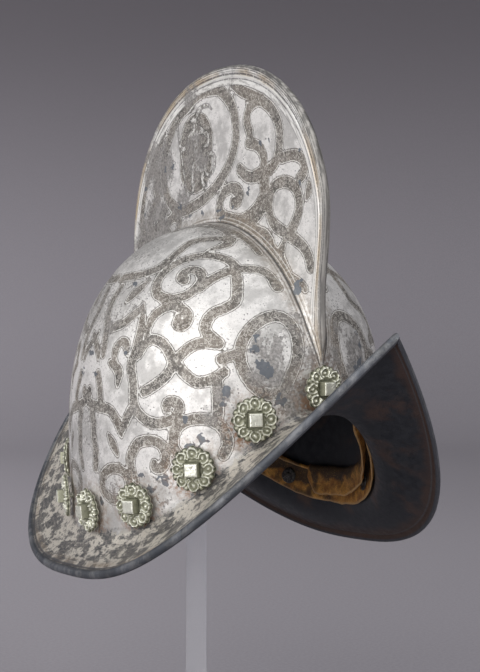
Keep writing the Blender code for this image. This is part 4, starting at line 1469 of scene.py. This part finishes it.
class Look:
    """A node material being built. Sizes are in mm, and each call returns an output."""

    def __init__(self, name):
        self.material = bpy.data.materials.new(name)
        self.material.use_nodes = True
        self.nodes = self.material.node_tree.nodes
        self.links = self.material.node_tree.links
        self.shader = self.nodes["Principled BSDF"]
        self.place = self.nodes.new("ShaderNodeTexCoord").outputs["Object"]

    def feed(self, socket, value):
        if isinstance(value, bpy.types.NodeSocket):
            self.links.new(value, socket)
        elif isinstance(value, tuple) and len(value) == 3 and socket.type == "RGBA":
            socket.default_value = (*value, 1.0)
        else:
            socket.default_value = value

    def set(self, **values):
        for name, value in values.items():
            self.feed(self.shader.inputs[name.replace("_", " ")], value)

    def mark(self, name):
        found = self.nodes.new("ShaderNodeAttribute")
        found.attribute_name = name
        return found.outputs["Fac"]

    def math(self, operation, *values):
        made = self.nodes.new("ShaderNodeMath")
        made.operation = operation
        for socket, value in zip(made.inputs, values):
            self.feed(socket, value)
        return made.outputs[0]

    def noise(self, size, detail=3.0, rough=0.55, distortion=0.0, place=None):
        made = self.nodes.new("ShaderNodeTexNoise")
        self.feed(made.inputs["Vector"], place or self.place)
        made.inputs["Scale"].default_value = 1 / (size * MM)
        made.inputs["Detail"].default_value = detail
        made.inputs["Roughness"].default_value = rough
        made.inputs["Distortion"].default_value = distortion
        return made.outputs["Fac"]

    def vector(self, operation, first, second):
        made = self.nodes.new("ShaderNodeVectorMath")
        made.operation = operation
        self.feed(made.inputs[0], first)
        self.feed(made.inputs[1], second)
        return made.outputs[0]

    def bent(self, size, shift_mm):
        """The place, pushed about by noise of this size."""
        waves = self.nodes.new("ShaderNodeTexNoise")
        self.feed(waves.inputs["Vector"], self.place)
        waves.inputs["Scale"].default_value = 1 / (size * MM)
        centred = self.vector("SUBTRACT", waves.outputs["Color"], (0.5, 0.5, 0.5))
        return self.vector("ADD", self.place, self.vector("MULTIPLY", centred, (shift_mm * MM,) * 3))

    def streaks(self, across_mm):
        """The place, drawn out along the lines on which this distance stays the same."""
        made = self.nodes.new("ShaderNodeCombineXYZ")
        self.feed(made.inputs[0], self.math("MULTIPLY", across_mm, MM))
        parts = self.nodes.new("ShaderNodeSeparateXYZ")
        self.feed(parts.inputs[0], self.place)
        self.feed(made.inputs[1], self.math("MULTIPLY", parts.outputs[0], STREAK))
        self.feed(made.inputs[2], self.math("MULTIPLY", parts.outputs[1], STREAK))
        return made.outputs[0]

    def cells(self, size, feature="F1", jitter=1.0, place=None):
        made = self.nodes.new("ShaderNodeTexVoronoi")
        made.feature = feature
        self.feed(made.inputs["Vector"], place or self.place)
        made.inputs["Scale"].default_value = 1 / (size * MM)
        made.inputs["Randomness"].default_value = jitter
        return made.outputs["Distance"]

    def step(self, value, low, high, start=0.0, end=1.0):
        """Smoothly from start to end as value goes from low to high."""
        made = self.nodes.new("ShaderNodeMapRange")
        made.interpolation_type = "SMOOTHSTEP"
        made.clamp = True
        values = (value, low, high, start, end)
        if low > high:
            values = (value, high, low, end, start)
        for socket, given in zip(made.inputs, values):
            self.feed(socket, given)
        return made.outputs[0]

    def line(self, value, centre, half, soft):
        """1 within half of centre, falling to 0 over soft more."""
        off = self.math("ABSOLUTE", self.math("SUBTRACT", value, centre))
        return self.step(off, half + soft, half)

    def mix(self, share, first, second):
        made = self.nodes.new("ShaderNodeMix")
        made.data_type = "RGBA"
        for socket, value in ((0, share), (6, first), (7, second)):
            self.feed(made.inputs[socket], value)
        return made.outputs[2]

    def chain(self, operation, values):
        total = values[0]
        for value in values[1:]:
            total = self.math(operation, total, value)
        return total

    def times(self, *values):
        return self.chain("MULTIPLY", values)

    def plus(self, *values):
        return self.chain("ADD", values)

    def minus(self, *values):
        return self.chain("SUBTRACT", values)

    def over(self, skin, colour, *shares):
        """The skin with this colour laid over it, as strong as the shares multiplied."""
        return self.mix(self.times(*shares), skin, colour)

    def bump(self, height, distance_mm, strength=1.0):
        made = self.nodes.new("ShaderNodeBump")
        made.inputs["Strength"].default_value = strength
        made.inputs["Distance"].default_value = distance_mm * MM
        self.feed(made.inputs["Height"], height)
        self.feed(self.shader.inputs["Normal"], made.outputs["Normal"])


def etched_steel():
    look = Look("etched_steel")
    speck = look.noise(0.8, 4, 0.6)
    grain = look.noise(2.4, 4, 0.65)
    cloud = look.noise(9, 4, 0.6)
    broad = look.noise(40, 3, 0.5)
    pit = look.step(look.cells(2.0), 0.30, 0.12)
    big_pit = look.step(look.cells(4.6), 0.20, 0.10)
    wear = look.mark("wear")

    # bright ground of the skull and comb
    worn = look.step(look.plus(cloud, look.times(broad, 0.8)), 0.72, 1.0)
    ground = look.mix(worn, GROUND_DULL, GROUND_BRIGHT)
    ground = look.mix(look.step(speck, 0.54, 0.68, 0.0, 0.6), ground, GROUND_STAIN)
    blotch = look.step(look.plus(grain, look.times(wear, 0.22)), 0.60, 0.74)
    ground = look.over(ground, GROUND_STAIN, blotch, 0.6)
    pit_zone = look.step(look.plus(cloud, look.times(wear, 0.3)), 0.50, 0.66)
    ground = look.over(ground, PIT, pit, pit_zone, 0.85)
    ground = look.over(ground, GROUND_SPECK, big_pit, pit_zone, 0.8)

    # etched straps: stippled, with small scrolls and a bright line along both edges
    wander = look.step(look.noise(1.6, 2), 0.0, 1.0, -0.35, 0.35)
    strap_mm = look.plus(look.mark("strap_mm"), wander)
    inside_strap = look.step(strap_mm, 0.20, -0.20)
    bent = look.bent(1.3, 1.2)
    curls = look.line(look.cells(2.2, "F1", 0.9, bent), 0.34, 0.03, 0.10)
    stems = look.line(look.noise(3.0, 1, 0.4, 0.6), 0.50, 0.008, 0.022)
    stipple = look.step(look.cells(0.8), 0.45, 0.20)
    strap = look.mix(look.step(cloud, 0.40, 0.62), STRAP_DARK, STRAP_LIGHT)
    strap = look.mix(look.step(grain, 0.40, 0.66, 0.0, 0.6), strap, STRAP_LIGHT)
    strap = look.mix(look.step(broad, 0.44, 0.60, 0.0, 0.3), strap, BROWNISH)
    strap = look.over(strap, STRAP_DOT, stipple, 0.65)
    strap = look.over(strap, STRAP_SCROLL, curls, 0.62)
    strap = look.over(strap, STRAP_SCROLL, stems, 0.75)
    skin = look.over(ground, strap, inside_strap, 0.95)
    line_kept = look.step(look.noise(5.5, 3), 0.34, 0.50, 0.2, 1.0)
    bright_line = look.line(strap_mm, -0.72, 0.14, 0.22)
    skin = look.over(skin, EDGE_BRIGHT, bright_line, line_kept, 0.85)
    dark_line = look.line(strap_mm, -0.18, 0.10, 0.22)
    skin = look.over(skin, STRAP_DOT, dark_line, line_kept, 0.45)

    # figure of the medallion
    figure_mm = look.plus(look.mark("figure_mm"), look.times(wander, 0.4))
    skin = look.mix(look.step(figure_mm, 0.95, 0.55, 0.0, 0.6), skin, STRAP_DOT)
    figure_tone = look.mix(look.step(grain, 0.40, 0.58), STRAP_LIGHT, STRIP_BRIGHT)
    figure_tone = look.over(figure_tone, STRAP_DARK, curls, 0.6)
    skin = look.mix(look.step(figure_mm, 0.30, 0.0, 0.0, 0.85), skin, figure_tone)

    # strip and lines along the comb's edge
    ridge_mm = look.mark("ridge_mm")
    strip = look.step(look.plus(ridge_mm, look.times(wander, 2)), 12.6, 11.6)
    drawn_out = look.streaks(ridge_mm)
    ridge_streak = look.noise(1.6, 4, 0.6, 0.2, drawn_out)
    strip_tone = look.mix(look.step(ridge_streak, 0.34, 0.56), STRIP_DULL, STRIP_BRIGHT)
    skin = look.over(skin, strip_tone, strip, 0.85)
    tan = look.times(look.line(ridge_mm, 4.6, 2.0, 1.6), look.step(broad, 0.40, 0.58), 0.7
    )
    skin = look.mix(tan, skin, GOLDEN)
    crown = look.step(ridge_mm, 3.0, 1.2)
    crown_tone = look.mix(look.step(ridge_streak, 0.42, 0.60), CROWN_DARK, CROWN_LIGHT)
    skin = look.over(skin, crown_tone, crown, 0.85)
    ticks = look.noise(1.4, 2, 0.5)
    for centre, half, strength in RIM_LINES_MM:
        drawn = look.line(ridge_mm, centre, half, 0.24)
        broken = look.step(ticks, 0.36, 0.50, 0.35, 1.0)
        skin = look.over(skin, EDGE_DARK, drawn, broken, strength)
    skin = look.over(skin, BEAD, look.line(ridge_mm, 7.2, 0.5, 0.4), 0.8)

    # crease at the comb's foot
    foot_mm = look.mark("foot_mm")
    brownish = look.times(look.step(foot_mm, 12.0, 2.0), look.step(grain, 0.34, 0.58))
    skin = look.over(skin, BROWNISH, brownish, 0.6)
    for centre, half, strength, colour in FOOT_LINES_MM:
        drawn = look.line(foot_mm, centre, half, 0.4)
        skin = look.over(skin, colour, drawn, strength)

    # wear over straps and ground, lost skin and rust
    patchy = look.plus(look.times(cloud, 0.55), look.times(grain, 0.45))
    eaten = look.step(look.plus(look.times(wear, 0.30), patchy), 0.66, 0.74)
    dirt = look.mix(look.step(look.noise(1.5, 4, 0.6), 0.38, 0.60), WORN_DARK, WORN_LIGHT)
    skin = look.over(skin, dirt, eaten, 0.78)
    dull = look.times(look.step(wear, 0.1, 0.9, 0.0, 0.42), look.step(cloud, 0.3, 0.6))
    skin = look.mix(dull, skin, WORN_LIGHT)
    ragged_loss = look.step(look.noise(3.2, 1, 0.4), 0.2, 0.8, -1.9, 1.9)
    loss = look.step(look.plus(look.mark("loss_mm"), ragged_loss), 0.25, -0.15)
    skin = look.over(skin, LOSS, loss, 0.92)
    rusty = look.times(look.mark("rust"), look.step(grain, 0.40, 0.60), 0.8)
    skin = look.mix(rusty, skin, RUST)

    # brim, streaked along its edge
    edge_mm = look.mark("edge_mm")
    throat_mm = look.mark("throat_mm")
    along = look.streaks(edge_mm)
    streak = look.noise(4.5, 5, 0.65, 0.4, along)
    fine_streak = look.noise(1.6, 4, 0.6, 0.2, along)
    patches_here = look.plus(look.times(streak, 0.4), look.times(cloud, 0.6))
    bare = look.step(patches_here, 0.475, 0.535)
    brim = look.mix(look.step(look.plus(fine_streak, grain), 0.80, 1.16), BRIM_DARK, BRIM_MID)
    brim = look.over(brim, BRIM_BARE_AND_HIGHLIGHT, bare, 0.85)
    brim = look.mix(look.step(grain, 0.52, 0.64, 0.0, 0.75), brim, BRIM_SPECK)
    brim = look.mix(look.step(fine_streak, 0.62, 0.72, 0.0, 0.35), brim, GROUND_BRIGHT)
    brown = look.times(look.line(edge_mm, 7.5, 1.5, 4.0), look.step(streak, 0.4, 0.6))
    brim = look.over(brim, BROWNISH, brown, 0.6)
    brim = look.over(brim, EDGE_DARK, look.line(edge_mm, BRIM_GROOVE_MM, 0.5, 0.6), 0.85)
    rim_tone = look.mix(look.step(streak, 0.40, 0.66), BRIM_RIM, BRIM_RIM_BRIGHT)
    brim = look.mix(look.step(edge_mm, 5.2, 4.6, 0.0, 0.9), brim, rim_tone)
    # painted highlight: a thin bright line along the top of the rolled edge
    rim_highlight = look.times(look.line(edge_mm, 3.4, 0.35, 0.6), look.step(streak, 0.36, 0.56, 0.25, 0.7)
    )
    brim = look.mix(rim_highlight, brim, BRIM_BARE_AND_HIGHLIGHT)
    brim = look.over(brim, BRIM_DARK, look.line(edge_mm, 1.6, 0.3, 0.5), 0.6)
    shore = look.step(grain, 0.2, 0.8, -3.5, 3.5)
    on_brim = look.step(look.plus(throat_mm, shore), 1.2, -1.2)
    skin = look.mix(on_brim, skin, brim)
    turn_line = look.line(throat_mm, 0.0, 0.8, 2.4)
    skin = look.over(skin, BRIM_DARK, turn_line, 0.35)

    relief = look.plus(look.times(speck, 0.5), grain)
    relief = look.minus(relief, look.times(pit, pit_zone))
    relief = look.minus(relief, look.times(inside_strap, stipple, 0.5))
    relief = look.minus(relief, look.times(loss, 1.2))
    look.bump(relief, 0.12, 0.8)
    rough = look.step(grain, 0.3, 0.7, 0.42, 0.56)
    rough = look.plus(rough, look.times(inside_strap, 0.10))
    look.set(Base_Color=skin, Roughness=rough, Metallic=STEEL_METALLIC)
    return look.material


def inner_steel():
    look = Look("inner_steel")
    speck = look.noise(1.1, 4, 0.6)
    grain = look.noise(5, 4, 0.6)
    broad = look.noise(26, 4, 0.6)
    skin = look.mix(look.step(grain, 0.35, 0.65), INNER_DARK, INNER_MID)
    skin = look.mix(look.step(broad, 0.50, 0.68, 0.0, 0.6), skin, INNER_RUST)
    edge_mm = look.mark("edge_mm")
    near_edge = look.step(look.plus(edge_mm, look.step(broad, 0, 1, -9, 9)), 16.0, 6.0)
    skin = look.over(skin, INNER_RUST, near_edge, 0.65)
    seam = look.line(edge_mm, 7.0, 0.35, 0.5)
    skin = look.over(skin, EDGE_DARK, seam, 0.7)
    skin = look.mix(look.step(edge_mm, 2.4, 1.0, 0.0, 0.85), skin, BRIM_RIM)
    skin = look.mix(look.step(speck, 0.56, 0.70, 0.0, 0.5), skin, INNER_SPECK)
    look.bump(look.plus(grain, look.times(speck, 0.6)), 0.2, 0.7)
    rough = look.step(grain, 0.3, 0.7, 0.42, 0.62)
    look.set(Base_Color=skin, Roughness=rough, Metallic=0.3)
    return look.material


def cast_metal():
    look = Look("cast_rosette")
    relief_and_light_mm = look.mark("relief_and_light_mm")
    speck = look.noise(0.6, 4, 0.6)
    grain = look.noise(2.0, 4, 0.6)
    height = look.plus(relief_and_light_mm, look.step(grain, 0, 1, -0.25, 0.25))
    # painted shade where the relief mark is low and a painted highlight where it is high, over the cast
    # body's own colour
    skin = look.mix(look.step(height, -0.45, 0.35), CAST_RECESS_SHADE, CAST_BODY)
    skin = look.mix(look.step(height, 0.30, 0.95), skin, CAST_HIGHLIGHT)
    skin = look.mix(look.step(grain, 0.56, 0.72, 0.0, 0.45), skin, CAST_GREEN)
    skin = look.mix(look.step(speck, 0.58, 0.70, 0.0, 0.7), skin, CAST_SPECK)
    look.bump(look.plus(grain, speck), 0.12, 0.7)
    rough = look.step(height, -0.4, 1.2, 0.55, 0.30)
    look.set(Base_Color=skin, Roughness=rough, Metallic=0.6)
    return look.material


def dark_iron():
    look = Look("dark_iron")
    grain = look.noise(1.6, 4, 0.6)
    skin = look.mix(look.step(grain, 0.4, 0.7), IRON_DARK, IRON_WORN)
    look.bump(grain, 0.15, 0.7)
    look.set(Base_Color=skin, Roughness=look.step(grain, 0.3, 0.7, 0.36, 0.58), Metallic=0.75)
    return look.material


def leather():
    look = Look("lining_leather")
    grain = look.cells(1.1, "DISTANCE_TO_EDGE")
    fine = look.noise(0.9, 4, 0.65)
    blotch = look.noise(7, 4, 0.62)
    burnt = look.step(look.noise(17, 4, 0.6), 0.50, 0.62)
    edge_mm = look.mark("edge_mm")
    skin = look.mix(look.step(blotch, 0.34, 0.66), LEATHER_DEEP, LEATHER_GOLD)
    skin = look.over(skin, LEATHER_BURNT, burnt, 0.8)
    width = look.step(look.noise(24, 3, 0.5), 0.35, 0.65, 6.0, 15.0)
    above = look.minus(look.mark("rise_mm"), width)
    above = look.plus(above, look.step(blotch, 0.2, 0.8, -3.0, 3.0))
    skin = look.mix(look.step(above, -1.0, 3.0, 0.0, 0.92), skin, LEATHER_BURNT)
    skin = look.mix(look.step(grain, 0.10, 0.02, 0.0, 0.5), skin, LEATHER_BURNT)
    skin = look.mix(look.step(edge_mm, 1.5, 0.2, 0.0, 0.7), skin, LEATHER_FRAYED)
    skin = look.mix(look.step(fine, 0.56, 0.70, 0.0, 0.4), skin, LEATHER_PALE)
    look.bump(look.plus(look.step(grain, 0.0, 0.12), fine), 0.22, 0.9)
    look.set(Base_Color=skin, Roughness=look.step(fine, 0.3, 0.7, 0.6, 0.8))
    return look.material


def clear_acrylic():
    look = Look("clear_acrylic")
    haze = look.noise(14, 3, 0.5, place=look.vector("MULTIPLY", look.place, (1, 1, 0.15)))
    scuff = look.noise(0.5, 3, 0.6, place=look.vector("MULTIPLY", look.place, (1, 1, 0.05)))
    rough = look.step(haze, 0.35, 0.7, 0.03, 0.11)
    look.bump(scuff, 0.01, 0.25)
    tint = look.mix(look.step(haze, 0.3, 0.7), ACRYLIC_TINT, ACRYLIC_CLEAR)
    look.set(Base_Color=tint, Roughness=rough, IOR=1.49, Transmission_Weight=0.86)
    return look.material


def felt():
    look = Look("stand_padding")
    fibre = look.noise(0.35, 5, 0.7, 0.5)
    cloud = look.noise(6, 3, 0.6)
    skin = look.mix(look.step(fibre, 0.35, 0.7), FELT_DARK, FELT_LIGHT)
    skin = look.mix(look.step(cloud, 0.4, 0.7, 0.0, 0.35), skin, FELT_LIGHT)
    look.bump(fibre, 0.3, 0.8)
    look.set(Base_Color=skin, Roughness=0.92, Sheen_Weight=0.35, Sheen_Roughness=0.5)
    return look.material


# Floor, backdrop, lights and camera


def build_stage():
    """One seamless round floor that curves up into a wall."""
    flat = STAGE_RADIUS - STAGE_CURVE
    profile = [(reach, 0.0) for reach in np.linspace(STAGE_MIDDLE, flat, STAGE_FLAT_ROWS)]
    for angle in np.linspace(0, math.pi / 2, STAGE_CURVE_ROWS)[1:]:
        profile.append((flat + STAGE_CURVE * math.sin(angle), STAGE_CURVE * (1 - math.cos(angle))))
    profile.append((STAGE_RADIUS, STAGE_HEIGHT))
    angles = round_angles(STAGE_COLUMNS)
    rows = [ring(reach, angles, z) for reach, z in profile]
    points = np.vstack([*rows, [(0, 0, 0)]])
    faces = [face[::-1] for face in ring_faces(len(rows), STAGE_COLUMNS)]
    centre = len(rows) * STAGE_COLUMNS
    faces += [(column, (column + 1) % STAGE_COLUMNS, centre) for column in range(STAGE_COLUMNS)]
    look = Look("backdrop_paper")
    fibre = look.noise(3, 4, 0.6)
    broad = look.noise(700, 2, 0.5)
    skin = look.mix(look.step(fibre, 0.3, 0.7), PAPER_LOW, PAPER_HIGH)
    skin = look.mix(look.step(broad, 0.3, 0.7, 0.0, 0.4), skin, PAPER_HIGH)
    parts = look.nodes.new("ShaderNodeSeparateXYZ")
    look.feed(parts.inputs[0], look.place)
    height = look.step(parts.outputs[2], PAPER_SHADE_FROM, PAPER_SHADE_TO)
    skin = look.mix(height, skin, PAPER_SHADE)
    look.bump(fibre, 0.15, 0.3)
    look.set(Base_Color=skin, Roughness=0.88)
    floor = mesh_piece("studio_floor", points, faces, look.material)
    floor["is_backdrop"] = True


def aim(item, place, target):
    item.location = place
    item.rotation_euler = (Vector(target) - Vector(place)).to_track_quat("-Z", "Y").to_euler()


def add_light(name, place, target, size, power, colour):
    data = bpy.data.lights.new(name, "AREA")
    data.shape = "RECTANGLE"
    data.size, data.size_y = size
    data.energy = power
    data.color = colour
    aim(placed(name, data), place, target)


def add_lights():
    for name, azimuth, distance, height, size, power, colour, target in LIGHTS:
        angle = math.radians(azimuth)
        place = (distance * math.sin(angle), -distance * math.cos(angle), height)
        add_light(name, place, target, size, power, colour)
    world = bpy.data.worlds.new("studio_air")
    world.use_nodes = True
    world.node_tree.nodes["Background"].inputs["Color"].default_value = (*WORLD_COLOUR, 1.0)
    world.node_tree.nodes["Background"].inputs["Strength"].default_value = WORLD_STRENGTH
    bpy.context.scene.world = world


def add_camera():
    azimuth = math.radians(CAMERA_AZIMUTH_DEG)
    elevation = math.radians(CAMERA_ELEVATION_DEG)
    back = Vector(
        (
            math.sin(azimuth) * math.cos(elevation),
            -math.cos(azimuth) * math.cos(elevation),
            math.sin(elevation),
        )
    )
    data = bpy.data.cameras.new("photo_camera")
    data.sensor_width = CAMERA_SENSOR_MM
    data.sensor_fit = "AUTO"
    data.lens = CAMERA_LENS_MM
    data.shift_x, data.shift_y = CAMERA_SHIFT
    data.clip_end = CAMERA_REACH
    camera = placed("photo_camera", data)
    target = Vector(CAMERA_TARGET)
    aim(camera, target + back * CAMERA_DISTANCE, target)
    bpy.context.scene.camera = camera


add_camera()
add_lights()
build_stage()
seat_place = seat_matrix()
clear = clear_acrylic()
pieces = [build_shell(seat_place, (etched_steel(), inner_steel()))]
slots = ["etched_steel"]
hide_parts("helmet_shell")
for made, slot in (
    (build_rosettes(seat_place, cast_metal()), "cast_rosette"),
    (build_washers(seat_place, dark_iron()), "dark_iron"),
    ([build_band(seat_place, leather())], "lining_leather"),
):
    pieces += made
    slots += [slot] * len(made)
pieces += build_stand(clear, felt())
slots += ["clear_acrylic", "clear_acrylic", "stand_padding"]
for piece, slot in zip(pieces, slots):
    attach(piece, "root")

bpy.context.scene.view_settings.view_transform = "Standard"

boxes = {"cad": CAD_BOX, "visual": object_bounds()}
{name: [list(map(float, corner)) for corner in box] for name, box in boxes.items()}
